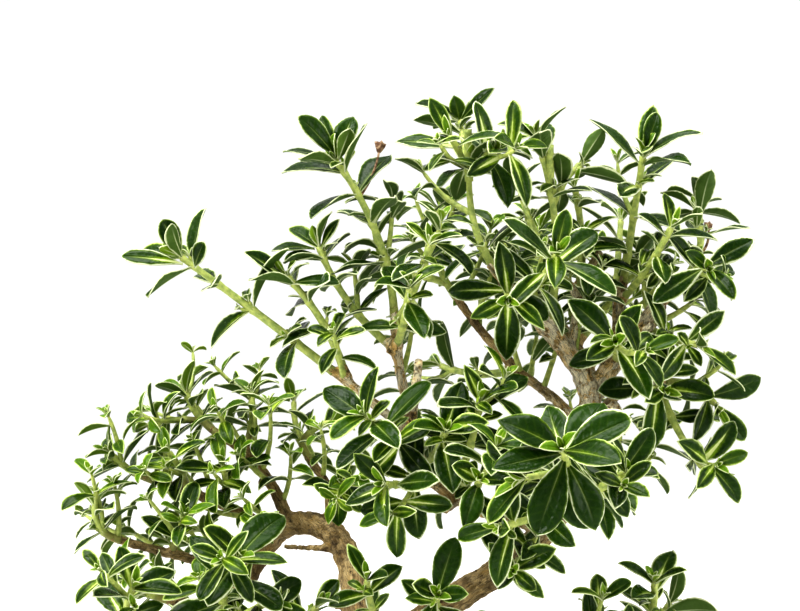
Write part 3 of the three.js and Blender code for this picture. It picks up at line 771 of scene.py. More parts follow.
# A shoot by rule: leaves in crossed pairs along a short stem. It grows where enough find room.
def growTwig(spray, foot, start, length, pairs, leafLength, side, light, ages, base, least=1):
    draw, form = spray.draw, twigForm
    tip = foot + (start + light * form["toLight"]).normalized() * length
    stem = Stem(foot, start, tip, base, form["tipRadius"])
    planned, siblings = [], set()
    for pair in range(pairs):
        isLast, rise = pair == pairs - 1, (pair + 1) / pairs
        t = form["last"]
        if not isLast:
            t = blend(form["first"], form["last"], (pair / (pairs - 1)) ** 0.7)
        axis = stem.along(t)
        u, v = crossed(side, axis)
        for half in (0, 180):
            out = spoke(u, v, math.radians(90 * pair + half + draw(*form["turn"])))
            spread = blend(*form["spread"], rise) + draw(*form["sway"])
            size = leafLength * draw(*form["size"])
            size *= form["lastSize"] if isLast and pairs > 1 else 1
            tilt = math.radians(draw(*form["tilt"]))
            blade = leafOn(stem.at(t), axis, out, spread, light, tilt, size, draw(*form["bend"]))
            age = blend(*ages, rise) + draw(-0.08, 0.08)
            look = leafLook(draw, age * spray.ripe, spray.broad, spray.plain)
            nearRoot = min(form["nearRoot"], 0.55 * size)
            if isInside(blade) and isFree(blade, look, nearRoot, siblings):
                kind = "middle" if size > form["middleLeaf"] else "small"
                planned.append((t, kind, blade, look))
                siblings.update(cellOf(spot) for spot in leafSpots(blade, look))
    if len(planned) < least:
        return False
    for _, kind, blade, look in planned:
        addLeaf(spray, kind, blade, look)
    spray.stems.append((stem, sorted({t for t, *_ in planned}), False, spray.fresh + 0.35))
    growBud(spray, stem, side, light, leafLength * 0.36, budPairs[:1 if pairs == 1 else 2])
    takeTube(stem, 0.2)
    return True


# The bud at a stem's end: two small upright leaves and two smaller ones between them.
def growBud(spray, stem, side, light, length, pairs=budPairs):
    draw, axis = spray.draw, stem.along(1)
    for out, (size, spread, age, away) in zip(reversed(crossed(side, axis)), pairs):
        for sign in (-1, 1):
            blade = leafOn(stem.at(1) + axis * away, axis, out * sign, spread + draw(-5, 5),
                           light * 0.2, 0, max(1.4, length * size * draw(0.85, 1.15)),
                           draw(0.15, 0.5))
            if isInside(blade):
                spray.leaves.append(("small", blade, leafLook(draw, age)))


def finderOf(places):
    finder = kdtree.KDTree(len(places))
    for index, place in enumerate(places):
        finder.insert(place, index)
    finder.balance()
    return finder


foundWithin = 0.04
# Heights and depths past which leaves are narrower, broader or younger, and by how much.
habits = {"high": 236, "front": -40, "back": 20, "farAge": 0.64, "backAge": 0.76, "farSize": 0.82}


# Finds the leaves of the part again: a blade counts where its tip is a corner of the solid.
def planShoots():
    sprays = []
    for index, row in enumerate(shoots):
        on, (_, y, z), isFar = row["on"], row["tip"], "arch" in row["on"]
        count = sum(other["on"] == on for other in shoots[:index]) + 1
        main = shootStem(row)
        parts = [(row, main)] + [(side, sideStem(side, main)) for side in row["side"]]
        spray = SimpleNamespace(
            node=f"shoot_{on}_{count}", name=f"leafy_{on}_{count}", on=on, parts=parts,
            broad=0.98 if z > habits["high"] else 1.2 if y < habits["front"] else 1.1,
            plain=0.45 if y < habits["front"] else 0.8,
            ripe=habits["farAge"] if isFar else habits["backAge"] if y > habits["back"] else 1.0,
            small=habits["farSize"] if isFar else 1.0, fresh=0.12 if isFar else 0.4,
            leaves=[], stems=[], axils=[], draw=drawsFrom(7001 + 37 * index))
        finder = finderOf([corner.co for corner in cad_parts[spray.node].data.vertices])
        for number, (given, stem) in enumerate(parts):
            nodes = set()
            for leaf in bladesOf(given, stem, 100 * (index + 1) + number):
                nodes.add(leaf.t)
                found = [blade for blade in leaf.choices
                         if finder.find(bladePoint(blade, 1) * mm)[2] < foundWithin * mm]
                if found:
                    age = (1.0 - 0.42 * leaf.rise ** 3) * spray.ripe
                    addLeaf(spray, "large", found[0],
                            leafLook(spray.draw, age, spray.broad, spray.plain))
                    spray.axils.append((stem, leaf, found[0]))
            spray.stems.append((stem, sorted(nodes), True, spray.fresh))
            takeTube(stem, 0.1)
        sprays.append(spray)
    return sprays


# Single leaves at the ends of the tallest shoots: root, tip, where the upper side looks, breadth,
# age and bend.
tipLeaves = {
    "leafy_twig_mid_up_1": [
        ((-22, -14.5, 270), (-32.2, -18, 280), (0.3, -0.8, 0.5), 1.25, 0.8, 0.45),
        ((-21.5, -13.5, 270), (-18, -12, 281), (-0.2, -0.95, 0.2), 1.5, 1.0, 0.4),
        ((-21.5, -15, 269.5), (-18, -20, 277), (0.1, 0.9, 0.5), 1.2, 0.5, 0.5),
        ((-22.5, -14, 268.5), (-36, -15, 271.5), (0.1, -0.35, 0.9), 1.1, 1.0, 0.6)],
    "leafy_twig_mid_left_1": [
        ((-61.5, -22.5, 244), (-66.5, -25, 253), (0.2, -0.9, 0.3), 1.4, 0.75, 0.4),
        ((-61, -23, 242), (-76.8, -25, 243.7), (0.05, -0.75, 0.65), 0.98, 1.0, 0.3),
        ((-58, -23, 241), (-55, -27, 247.5), (-0.3, -0.85, 0.3), 1.5, 1.0, 0.3)],
    "leafy_twig_mid_up_4": [
        ((-28, -9, 246.3), (-39.3, -12, 246), (0, -0.55, 0.8), 1.1, 1.0, 0.5),
        ((-27, -9, 244.6), (-35.5, -14, 243), (0.1, -0.6, 0.8), 1.2, 0.8, 0.5),
        ((-26.5, -8.5, 246), (-21.2, -10, 254), (-0.5, -0.6, 0.4), 1.0, 0.8, 0.4)],
    "leafy_twig_mid_left_2": [
        ((-35, -17.5, 237.5), (-45.5, -21, 245), (0.3, -0.7, 0.6), 1.2, 0.8, 0.4),
        ((-33.5, -17.5, 237), (-21, -20, 237), (-0.1, -0.6, 0.8), 1.1, 1.0, 0.5)],
    "leafy_arm_left_1": [
        ((11.3, 7.5, 282), (20.3, 1, 290), (-0.4, -0.85, 0.3), 1.0, 0.9, 0.4),
        ((10.8, 7.5, 282), (-1.2, 4, 286.2), (0.2, -0.6, 0.8), 1.0, 1.0, 0.7),
        ((11, 8, 281.5), (9.6, 7, 289), (0.1, -0.9, 0.1), 1.5, 0.5, 0.3)],
    "leafy_twig_up_right_1": [
        ((60.3, -2, 271), (75.3, -6, 277.5), (-0.3, -0.5, 0.85), 1.05, 1.0, 0.8),
        ((60.8, -2.5, 272), (63.5, -4, 283), (-0.1, -0.9, 0.2), 1.25, 0.6, 0.4)],
}
# Side twigs of the shoots: shoot, share of its stem, tip, pairs and length of the leaves.
sideTwigs = [
    ("leafy_twig_mid_up_1", 0.16, (-13, 2, 249), 4, 13),
    ("leafy_twig_mid_up_1", 0.3, (-6, -2, 259), 4, 13.5),
    ("leafy_twig_mid_up_4", 0.35, (-17, 2, 239), 4, 13),
    ("leafy_arm_left_1", 0.66, (-1, 3, 262), 4, 13.5),
]
# Places on the wood that small shoots leave in sight from the front, and how widely.
clearings = [
    ((47, -5, 209), 6), ((46, -4, 201), 5), ((41, -2, 217), 4), ((35, -2, 225), 3.5),
    ((53, 0, 215), 3.5), ((44, -6, 195), 4), ((-25, 40, 152), 8), ((-34, 42, 150), 6),
    ((-42, 43, 156), 5), ((15, 25, 231), 7), ((12, 25, 222), 6), ((39, 8, 171), 6),
    ((50, 10, 268), 6), ((8, -6, 150), 5), ((0, -7, 143), 5), ((20, -8, 158), 4),
    ((-6, -11, 230), 4), ((-6, -11, 222), 4), ((-5, -12, 213), 4), ((-20, -17, 213), 4),
]


def setTipLeaves(sprays):
    draw = drawsFrom(3307)
    for name, leaves in tipLeaves.items():
        for root, tip, facing, broad, age, bend in leaves:
            root, tip, half = Vector(root), Vector(tip), bend / 2
            chord = (tip - root).normalized()
            up = squared(Vector(facing), chord)
            blade = Blade(root, chord * math.cos(half) + up * math.sin(half),
                          up * math.cos(half) - chord * math.sin(half), None,
                          (tip - root).length * half / math.sin(half), bend)
            addLeaf(sprays[name], "large", blade, leafLook(draw, age, broad))


def growSideTwigs(sprays):
    for name, place, tip, pairs, leafLength in sideTwigs:
        foot = sprays[name].stems[0][0].at(place)
        way = Vector(tip) - foot
        start = way.normalized()
        growTwig(sprays[name], foot, start, way.length, pairs, leafLength, across(start),
                 lightAt(Vector(tip)), (1.0, 0.6), 0.95, 3)


def clearSights():
    for place, reach in clearings:
        place = Vector(place)
        ahead = (Vector(camera["place"]) / mm - place).normalized()
        for width in (reach, reach / 2):
            end = place + ahead * extras["sightLength"]
            takeTube(Stem(place, ahead, end, width, width), 0)
    for bough in boughs.values():
        takeTube(bough, 0.5)


# Buds at the ends of the shoots, and small shoots in the axils of their leaves.
def fillShoot(spray):
    draw = spray.draw
    for row, stem in spray.parts:
        side = across((stem.at(1) - stem.at(0)).normalized())
        turn = Quaternion(stem.along(1), math.radians(row["roll"] + 90 * row["pairs"]))
        growBud(spray, stem, turn @ squared(side, stem.along(1)), lightAt(stem.at(1)),
                row["leaf"] * 0.4)
    for stem, leaf, blade in spray.axils:
        chance = draw()
        isBare = stem.tip.y < extras["rosetteFront"] or leaf.rise > extras["topmost"]
        if isBare or chance > extras["axilChance"] + extras["fillChance"]:
            continue
        isLong = chance < extras["fillChance"] and leaf.rise < extras["topmostLong"]
        lean = math.radians(draw(*extras["longLean" if isLong else "shortLean"]))
        start = spoke(leaf.axis, blade.out, lean)
        foot = stem.at(leaf.t) + blade.out * stem.radius(leaf.t) * 0.5 + leaf.axis * 0.7
        side = leaf.axis.cross(blade.out)
        if isLong:
            length, pairs = draw(*extras["fillLength"]), 3 if draw() < 0.6 else 2
            if growTwig(spray, foot, start, length, pairs, draw(*extras["fillLeaf"]) * spray.small,
                        side, leaf.light, (0.95, 0.55), 0.8, 4):
                continue
        growTwig(spray, foot, start, draw(*extras["shortLength"]), 1, draw(*extras["axilLeaf"]),
                 side, leaf.light, (0.7, 0.6), 0.55)


# Leafy shoots straight out of the bark, where a branch would stand bare.
def coverBough(bough, own, count, low, high, longest):
    for k in range(count):
        spray = own[k % len(own)]
        draw = spray.draw
        for attempt in range(extras["tries"]):
            t = blend(low, high, (k + draw()) / count)
            axis = bough.along(t)
            turn = math.radians(draw(-extras["coverTurn"], extras["coverTurn"]))
            out = spoke(*crossed(across(axis), axis), turn)
            start = (out + axis * draw(0.1, 0.7) + upward * 0.3).normalized()
            foot = bough.at(t) + start * bough.radius(t) * 0.6
            light = lightAt(foot)
            length = draw(0.5, 1.0) * longest
            if growTwig(spray, foot, start, length, 4 if length > extras["fourPairs"] else 3,
                        draw(*extras["fillLeaf"]) * spray.small, squared(light, axis), light,
                        (1.0, 0.6), 0.95, 5):
                break


sprays = planShoots()
print("leaves of the part found again:", sum(len(spray.leaves) for spray in sprays))
byName = {spray.name: spray for spray in sprays}
setTipLeaves(byName)
growSideTwigs(byName)
clearSights()
for spray in sprays:
    fillShoot(spray)
for name, cover in extras["covers"].items():
    coverBough(boughs[name], [spray for spray in sprays if spray.on == name], *cover)
print("with the small shoots between them:", sum(len(spray.leaves) for spray in sprays))

leafColours = {
    "field": ((0.008, 0.027, 0.0012, 1), (0.034, 0.088, 0.005, 1)),
    "youngField": (0.105, 0.215, 0.008, 1),
    "feather": (0.20, 0.31, 0.015, 1),
    "stripe": ((0.42, 0.54, 0.06, 1), (0.68, 0.74, 0.34, 1)),
    "margin": (0.68, 0.72, 0.50, 1),
    "youngMargin": (0.44, 0.55, 0.13, 1),
    "under": ((0.046, 0.092, 0.014, 1), (0.108, 0.175, 0.044, 1)),
    "underMargin": (0.66, 0.70, 0.44, 1),
}


# The pattern of a variegated blade, from its map and sizes: masks of the pale margin, the pale
# stripe along the midrib and the lighter streaks beside it, and the height of its veins.
def makeLeafPattern():
    group = bpy.data.node_groups.new("leafPattern", "ShaderNodeTree")
    for name, kind in (("Blade Map", "Vector"), ("Leaf Info", "Vector"), ("Half Width", "Float"),
                       ("Place", "Vector")):
        group.interface.new_socket(name, in_out="INPUT", socket_type="NodeSocket" + kind)
    for name in ("Margin", "Stripe", "Feather", "Height", "Mottle", "Midrib"):
        group.interface.new_socket(name, in_out="OUTPUT", socket_type="NodeSocketFloat")
    given = group.nodes.new("NodeGroupInput")
    s, aside, _ = Wire(given, "Blade Map").split()
    _, tone, length = Wire(given, "Leaf Info").split()
    width, place = Wire(given, "Half Width"), Wire(given, "Place")
    fromMiddle = abs(aside * 2.0 - 1.0)
    fromMidrib = fromMiddle * width  # in millimetres, as all distances here
    grown = length * 0.045 + 0.25  # small leaves have a finer pattern
    wobble = place.noise(1100, 3, 0.6) - 0.5
    slow = place.noise(260, 2) - 0.5
    first, second, third = ((tone * factor).math("FRACT") for factor in (7.13, 17.7, 29.3))

    toSide = (1.0 - fromMiddle) * width
    toTip = (1.0 - s) * length * 0.8
    fromEdge = wobble * 0.42 + toSide.math("SMOOTH_MIN", toTip, 0.25)
    inward = fromEdge - (slow + (third * 0.34 - 0.02)) * grown
    margin = inward.step(0.2, -0.12)

    # the stripe: as long and as wide as this leaf happens to have it
    taper = (1.0 - s / (first * 0.42 + 0.42)).most(0.0) ** 0.65
    wide = (second ** 2.6 * 0.85 + 0.05) * taper * grown
    midrib = fromMidrib.step(0.2, 0.07) * s.step(0.95, 0.35)
    stripe = (wobble * 0.3 + fromMidrib - wide).step(0.13, -0.09) * taper.step(0.0, 0.3)
    stripe = stripe * second.step(0.3, 0.75, 0.15, 1.0)
    stripe = stripe.most(midrib * second.step(0.2, 0.8, 0.15, 0.6))

    # lateral veins run forward from the midrib to the margin
    veins = abs(((fromMidrib * -0.75 + s * length) * 1.55).math("SINE")) ** 9.0
    lateral = veins * fromEdge.step(0.2, 1.0)

    feather = (wobble * 0.9 + (fromMidrib - (wide * 1.7 + 0.18))).step(0.55, -0.25)
    feather = feather * s.step(0.98, 0.3) * second.step(0.2, 0.8, 0.2, 1.0)
    feather = feather.most(lateral * 0.04).most(inward.step(0.6, 0.1) * 0.45)

    height = lateral * -0.12 + fromMidrib.step(0.5, 0.0) * -0.6
    height = slow * 2.4 + (wobble * 0.16 + height)
    addNode(group, "NodeGroupOutput", {
        "Margin": margin, "Stripe": stripe, "Feather": feather, "Height": height,
        "Mottle": slow + 0.5, "Midrib": midrib})
    return group


def readBlade(tree, pattern):
    info = attribute(tree, "leafInfo")
    used = addNode(tree, "ShaderNodeGroup", node_tree=pattern, values={
        "Blade Map": Wire(addNode(tree, "ShaderNodeUVMap", uv_map="blade")), "Leaf Info": info,
        "Half Width": attribute(tree, "halfWidth", "Fac"), "Place": objectPlace(tree)})
    age, tone, _ = info.split()
    return {output.name: Wire(used, output.name) for output in used.outputs}, age, tone


def makeLeafTop(pattern):
    material, tree = newMaterial("leafUpperSide")
    masks, age, tone = readBlade(tree, pattern)
    colour = (masks["Mottle"] * tone).mix(*leafColours["field"])
    colour = age.step(0.15, 0.62).mix(leafColours["youngField"], colour)
    colour = (masks["Feather"] * 0.85).mix(colour, leafColours["feather"])
    colour = masks["Stripe"].mix(colour, age.step(0.3, 1.0).mix(*leafColours["stripe"]))
    margin = age.step(0.42, 1.0).mix(leafColours["youngMargin"], leafColours["margin"])
    return finished(material, masks["Margin"].mix(colour, margin), masks["Mottle"] * 0.3 + 0.12,
                    masks["Height"], 0.55, 0.0004, 0.18)


def makeLeafUnder(pattern):
    material, tree = newMaterial("leafUnderSide")
    masks, age, _ = readBlade(tree, pattern)
    colour = masks["Mottle"].mix(*leafColours["under"])
    colour = age.step(0.15, 0.62).mix(leafColours["feather"], colour)
    for mask, share, over in (("Feather", 0.35, "feather"), ("Midrib", 0.6, "underMargin"),
                              ("Stripe", 0.8, "underMargin"), ("Margin", 1.0, "underMargin")):
        colour = (masks[mask] * share).mix(colour, leafColours[over])
    return finished(material, colour, masks["Mottle"] * 0.15 + 0.5, masks["Height"] * -1.0, 0.6,
                    0.0004, 0.2)


stemColours = {
    "green": (0.26, 0.34, 0.085, 1),
    "lime": (0.54, 0.60, 0.17, 1),
    "old": (0.22, 0.21, 0.055, 1),
    "scale": (0.60, 0.63, 0.28, 1),
    "withered": ((0.13, 0.065, 0.03, 1), (0.42, 0.29, 0.17, 1)),
}


# A green stem: leafInfo holds the share from its root, its freshness, and how near a node is.
def makeStemGreen():
    material, tree = newMaterial("greenStem")
    place = objectPlace(tree)
    t, fresh, node = attribute(tree, "leafInfo").split()
    mottle = place.noise(700, 3, 0.55)
    colour = mottle.step(0.28, 0.72).mix(stemColours["green"], stemColours["lime"])
    for share, over in ((place.noise(2400, 2, 0.6).step(0.58, 0.7) * 0.4, "scale"),
                        (node.step(0.1, 1.0) * 0.7, "lime"),
                        ((t + fresh).step(0.55, 0.3) * 0.85, "old"),
                        (node.step(1.4, 1.6), "scale")):
        colour = share.mix(colour, stemColours[over])
    return finished(material, colour, mottle * 0.2 + 0.42, mottle + place.noise(2600, 2), 0.3,
                    0.0003)


def makeWithered():
    material, tree = newMaterial("withered")
    mottle = objectPlace(tree).noise(900, 4, 0.6)
    colour = mottle.step(0.38, 0.62).mix(*stemColours["withered"])
    return finished(material, colour, 0.8, mottle, 0.5, 0.0004)


stemSlot, witheredSlot = 2, 3  # of the materials of a shoot
tubeTemplates = {}


# An upright tube of height 1 and radius 1 with that many rings between its ends.
def tubeTemplate(sides, rings):
    if (sides, rings) not in tubeTemplates:
        made = bmesh.new()
        made.verts.layers.float_vector.new("leafInfo")
        bmesh.ops.create_cone(made, cap_ends=True, segments=sides, radius1=1, radius2=1, depth=1)
        upright = [edge for edge in made.edges
                   if abs(edge.verts[0].co.z - edge.verts[1].co.z) > 0.5]
        bmesh.ops.subdivide_edges(made, edges=upright, cuts=rings, use_grid_fill=True)
        shadeSmooth(made)
        tubeTemplates[sides, rings] = meshOf("tube", made)
    return tubeTemplates[sides, rings]


# Carries a tube along a line. radiusAt and infoAt give its radius and its leafInfo at t.
def placeTube(made, line, sides, rings, radiusAt=None, infoAt=None, material=0):
    corners, faces = addCopy(made, tubeTemplate(sides, rings))
    info = made.verts.layers.float_vector["leafInfo"]
    side = across(line.along(0), sideward, backward)
    for vert in corners:
        t = min(max(vert.co.z + 0.5, 0.0), 1.0)
        angle = math.atan2(vert.co.y, vert.co.x)
        radius = radiusAt(t, angle) if radiusAt else line.radius(t)
        if infoAt:
            vert[info] = infoAt(t)
        vert.co = (line.at(t) + spoke(*crossed(side, line.along(t)), angle) * radius) * mm
    for face in faces:
        face.material_index = material


# A small pointed scale, as the stipules at a node are.
def placeScale(made, foot, along, face, length, width):
    corners, faces = addCopy(made, tubeTemplate(4, 1))
    info = made.verts.layers.float_vector["leafInfo"]
    for vert in corners:
        t = vert.co.z + 0.5
        share = max(0.04, 1 - t ** 1.3)
        place = foot + along * (t * length) + face.cross(along) * (vert.co.x * width * share)
        vert.co = (place + face * (vert.co.y * width * 0.35 * share)) * mm
        vert[info] = (0, 0, 2)
    for polygon in faces:
        polygon.material_index = stemSlot


# Of a shoot's own stem and of a twig's: gap between rings, sides, swelling of the whole stem and
# at its nodes, depth of its ribs.
stemForm = {True: (1.0, 10, 1.1, 0.26, 0.045), False: (1.6, 6, 1, 0.2, 0)}


def placeStem(made, line, nodes, isMain, fresh, draw):
    ringGap, sides, whole, knot, rib = stemForm[isMain]

    def nearNode(t):
        return max(math.exp(-((t - node) * line.length / 0.85) ** 2) for node in nodes)

    def radiusAt(t, angle):
        closing = 0.55 if t > 0.999 else 1
        swell = whole * (1 + knot * nearNode(t)) * (1 + rib * math.cos(4 * angle))
        return line.radius(t) * swell * closing

    placeTube(made, line, sides, max(2, int(line.length / ringGap)), radiusAt,
              lambda t: (t, fresh, nearNode(t)), stemSlot)
    if not isMain:
        return
    if line.depth:
        foot = Stem(line.root - line.start * line.depth, line.start,
                    line.root + line.start * 0.3, line.radii[0] * 1.25, line.radii[0] * 1.16)
        placeTube(made, foot, 10, 2, None, lambda t: (0, fresh, 0), stemSlot)
    for node in nodes:
        axis = line.along(node)
        u = squared(across(axis, sideward, upward), axis)
        for k in range(4):
            out = Quaternion(axis, math.radians(90 * k + draw(0, 40))) @ u
            along = (axis + out * 0.45).normalized()
            foot = line.at(node) + out * line.radius(node) * 1.05 - axis * 0.3
            placeScale(made, foot, along, squared(out, along), draw(0.8, 1.5), 0.32)


# Cut green stems: shoot, place on its stem, tip and radius.
cutStems = [
    ("leafy_arm_left_1", 0.92, (12.5, -8.5, 278), 1.08),
    ("leafy_arm_left_2", 0.7, (34.4, -7, 274), 1.02),
]
# Dry remains: shoot, near which place its stem bears them, tip, size of the withered head.
dryRemains = [
    ("leafy_twig_mid_up_1", (-19, -13, 257), (-11, -4, 272.5), 1.9),
    ("leafy_branch_mid_1", (0, -17, 200), (-3.5, -21, 203), 2.2),
    ("leafy_low_left_1", (-47, -26, 158), (-44, -31, 160), 1.3),
    ("leafy_arm_right_1", (75, 4, 246), (79, 6, 252), 1.5),
]


def placeRemains(made, name, stems):
    for _, place, tip, radius in (row for row in cutStems if row[0] == name):
        cut = straightStem(stems[0][0].at(place), Vector(tip), radius * 1.1, radius)
        placeTube(made, cut, 10, 8, lambda t, angle: cut.radius(t) * (1 + 0.1 * (t > 0.93)),
                  lambda t: (0.3 + 0.4 * t, 0.3, 0), stemSlot)
    for _, near, tip, size in (row for row in dryRemains if row[0] == name):
        near, tip = Vector(near), Vector(tip)
        foot = min((stem[0].at(k / 40) for stem in stems for k in range(38)),
                   key=lambda spot: (spot - near).length)
        stalk = Stem(foot, (tip - foot + sideward * 4).normalized(), tip, 0.42, 0.3)
        placeTube(made, stalk, 7, 10, material=witheredSlot)
        axis = stalk.along(1)
        head = Stem(tip - axis * 0.3, axis, tip + axis * size * 1.3, 0.4, size)
        placeTube(made, head, 15, 5, lambda t, angle: size * (0.22 + 0.5 * t ** 0.6) * (
            1 + 0.34 * t * math.cos(5 * angle) + 0.1 * math.sin(8 * angle + 5 * t)),
            material=witheredSlot)


def makeSpray(spray, materials):
    made = bmesh.new()
    made.loops.layers.uv.new("blade")
    made.verts.layers.float_vector.new("leafInfo")
    made.verts.layers.float.new("halfWidth")
    for leaf in spray.leaves:
        placeLeaf(made, *leaf)
    piece = linkMesh(spray.name, made, materials)
    walls = piece.modifiers.new("thickness", "SOLIDIFY")
    walls.thickness = leafForm["thickness"] * mm
    walls.offset = -1
    walls.material_offset = walls.material_offset_rim = 1
    applyModifiers(piece)
    made = bmeshOf(piece.data)
    for stem in spray.stems:
        placeStem(made, *stem, spray.draw)
    placeRemains(made, spray.name, spray.stems)
    made.to_mesh(piece.data)
    made.free()
    addPiece(piece, spray.node)
    return sum(len(face.vertices) - 2 for face in piece.data.polygons)


leafPattern = makeLeafPattern()
shootMaterials = [makeLeafTop(leafPattern), makeLeafUnder(leafPattern), makeStemGreen(),
                  makeWithered()]
print("leafy shoots stand, triangles:", sum(makeSpray(spray, shootMaterials) for spray in sprays))

barkForm = {
    "voxel": 0.6,
    "nodeGap": (6.5, 11.0),  # between the old leaf nodes of a twig
    "nodeSwell": 0.2,
    "stubChance": 0.5,
    "furrow": 0.06,  # depth of the furrows as a share of the radius
    "mostFurrow": 0.42,
    "bulge": 0.07,
}
# Cut stubs: bough, place on it, tip and radius.
stubs = [
    ("branch_mid", 0.28, (20, -19, 176), 1.4), ("branch_mid", 0.5, (6, -20, 178.5), 1.3),
    ("arch", 0.31, (-40, 43, 160), 0.9), ("arm_left", 0.92, (18, -11, 242), 1.1),
    ("twig_up_mid", 0.9, (49, 2, 246), 1.2), ("twig_mid_up", 0.1, (-0.5, -18, 217.5), 1.2),
    ("arm_right", 0.5, (62, -6, 226), 1.3), ("trunk", 0.93, (53, -5, 205), 1.7),
    ("trunk", 0.79, (31, -10, 175), 2.2), ("trunk", 0.42, (-24, -3, 112), 2.6),
    ("trunk", 0.3, (-2, -9, 84), 3.0), ("arch", 0.2, (-24, 24, 146), 1.8),
    ("arch", 0.62, (-44, 41, 165), 1.6), ("low_left", 0.4, (-26, -13, 122), 1.5),
    ("low_right", 0.35, (10, -7, 121), 1.3), ("back_right", 0.45, (38, 24, 166), 1.1),
]


# A bough with its old nodes, and on a twig the pegs that leaves and shoots have left there.
def placeBough(made, bough, draw):
    isThick = bough.radii[0] > 4
    nodes, place = [], draw(*barkForm["nodeGap"])
    while place < bough.length - 2:
        nodes.append(place / bough.length)
        place += draw(*barkForm["nodeGap"])
    turn = draw(0, 3)

    def radiusAt(t, angle):
        radius = bough.radius(t)
        near = max((math.exp(-((t - node) * bough.length / 1.2) ** 2) for node in nodes), default=0)
        k = sum(t > node for node in nodes)
        sided = 0.5 + 0.5 * math.cos(2 * (angle - turn - math.pi / 2 * k))
        swell = barkForm["nodeSwell"] * near * sided
        return radius * (1 + swell * min(1.0, 2.2 / radius) * min(1, radius / 1.2))

    placeTube(made, bough, 16 if isThick else 10, max(6, int(bough.length / 1.1)), radiusAt)
    for k, node in enumerate([] if isThick else nodes):
        if draw() > barkForm["stubChance"] or node > 0.95:
            continue
        axis, foot = bough.along(node), bough.at(node)
        around = Quaternion(axis, turn + math.pi / 2 * k + draw(-0.3, 0.3))
        out = around @ squared(across(axis), axis)
        reach = bough.radius(node) + draw(0.6, 1.6)
        placeTube(made, Stem(foot, out, foot + (out + axis * 0.4) * reach, 0.95, 0.75), 8, 3)


def makeWood():
    draw = drawsFrom(4211)
    made = bmesh.new()
    made.verts.layers.float_vector.new("leafInfo")
    for bough in boughs.values():
        placeBough(made, bough, draw)
    for name, place, tip, radius in stubs:
        stub = straightStem(boughs[name].at(place), Vector(tip), radius * 1.15, radius)
        placeTube(made, stub, 12, 6)
    for row in shoots:  # a collar of bark round every shoot's foot
        stem = shootStem(row)
        width = boughs[row["on"]].radius(1) if row["at"] == 1 else 1.75
        collar = Stem(stem.root - stem.start * stem.depth, stem.start,
                      stem.root + stem.start * draw(0.9, 2.0), width, 1.22)
        placeTube(made, collar, 12, 6, lambda t, angle: collar.radius(t) * (
            1 + 0.12 * math.sin(9 * t) * (1 - t)))
    piece = linkMesh("bark_and_branches", made)
    skin = piece.modifiers.new("skin", "REMESH")
    skin.mode = "VOXEL"
    skin.voxel_size = barkForm["voxel"] * mm
    skin.use_smooth_shade = True
    even = piece.modifiers.new("even", "SMOOTH")
    even.factor, even.iterations = 0.4, 2
    applyModifiers(piece)
    roughenBark(piece.data)
    piece.data.materials.append(makeBark())
    addPiece(piece, "trunk_and_branches")
    return piece


# Gives every point of the bark its place round and along its branch, and pushes furrows in.
def roughenBark(mesh):
    hearts = []
    for index, bough in enumerate(boughs.values()):
        steps = int(bough.length / 0.8)
        side = across(bough.along(0), sideward, backward)
        for k in range(steps + 1):
            t = k / steps
            hearts.append((bough.at(t), *crossed(side, bough.along(t)), bough.radius(t),
                           41.0 * index + t * bough.length))
    finder = finderOf([heart[0] for heart in hearts])
    mesh.attributes.new("grain", "FLOAT_VECTOR", "POINT")
    mesh.attributes.new("furrow", "FLOAT", "POINT")
    grain, furrow = mesh.attributes["grain"].data, mesh.attributes["furrow"].data
    normals = [tuple(normal.vector) for normal in mesh.vertex_normals]
    for index, vert in enumerate(mesh.vertices):
        place = vert.co / mm
        near = [(distance - hearts[k][3], k) for _, k, distance in finder.find_n(place, 4)]
        heart, u, v, radius, run = hearts[min(near)[1]]
        outward = place - heart
        angle = math.atan2(outward.dot(v), outward.dot(u))
        spot = Vector((radius * math.cos(angle), radius * math.sin(angle), run))
        fine = Vector((spot.x * 0.5, spot.y * 0.5, run * 0.1))
        streak = noise.noise(fine) + 0.5 * noise.noise(fine * 2.1)
        ridge = 1 - min(1.0, abs(streak) / 0.3)  # 1 in the bottom of a furrow
        scaly = noise.noise(place * 0.55) + 0.5 * noise.noise(place * 1.3)
        depth = min(barkForm["mostFurrow"], barkForm["furrow"] * radius + 0.1)
        bulge = barkForm["bulge"] * radius * noise.noise(place * 0.11)
        vert.co += Vector(normals[index]) * (depth * (1.1 * scaly - ridge) + bulge) * mm
        grain[index].vector = spot
        furrow[index].value = ridge
    mesh.update()


barkColours = {
    "tan": (0.76, 0.51, 0.17, 1),
    "light": (1.0, 0.75, 0.36, 1),
    "pale": (1.0, 0.90, 0.64, 1),
    "brown": (0.13, 0.075, 0.022, 1),
    "dark": (0.030, 0.018, 0.006, 1),
    # painted shade, mixed over the back and lower wood
    "paintedShade": (0.13, 0.088, 0.037, 1),
    "moss": (0.10, 0.125, 0.045, 1),
}


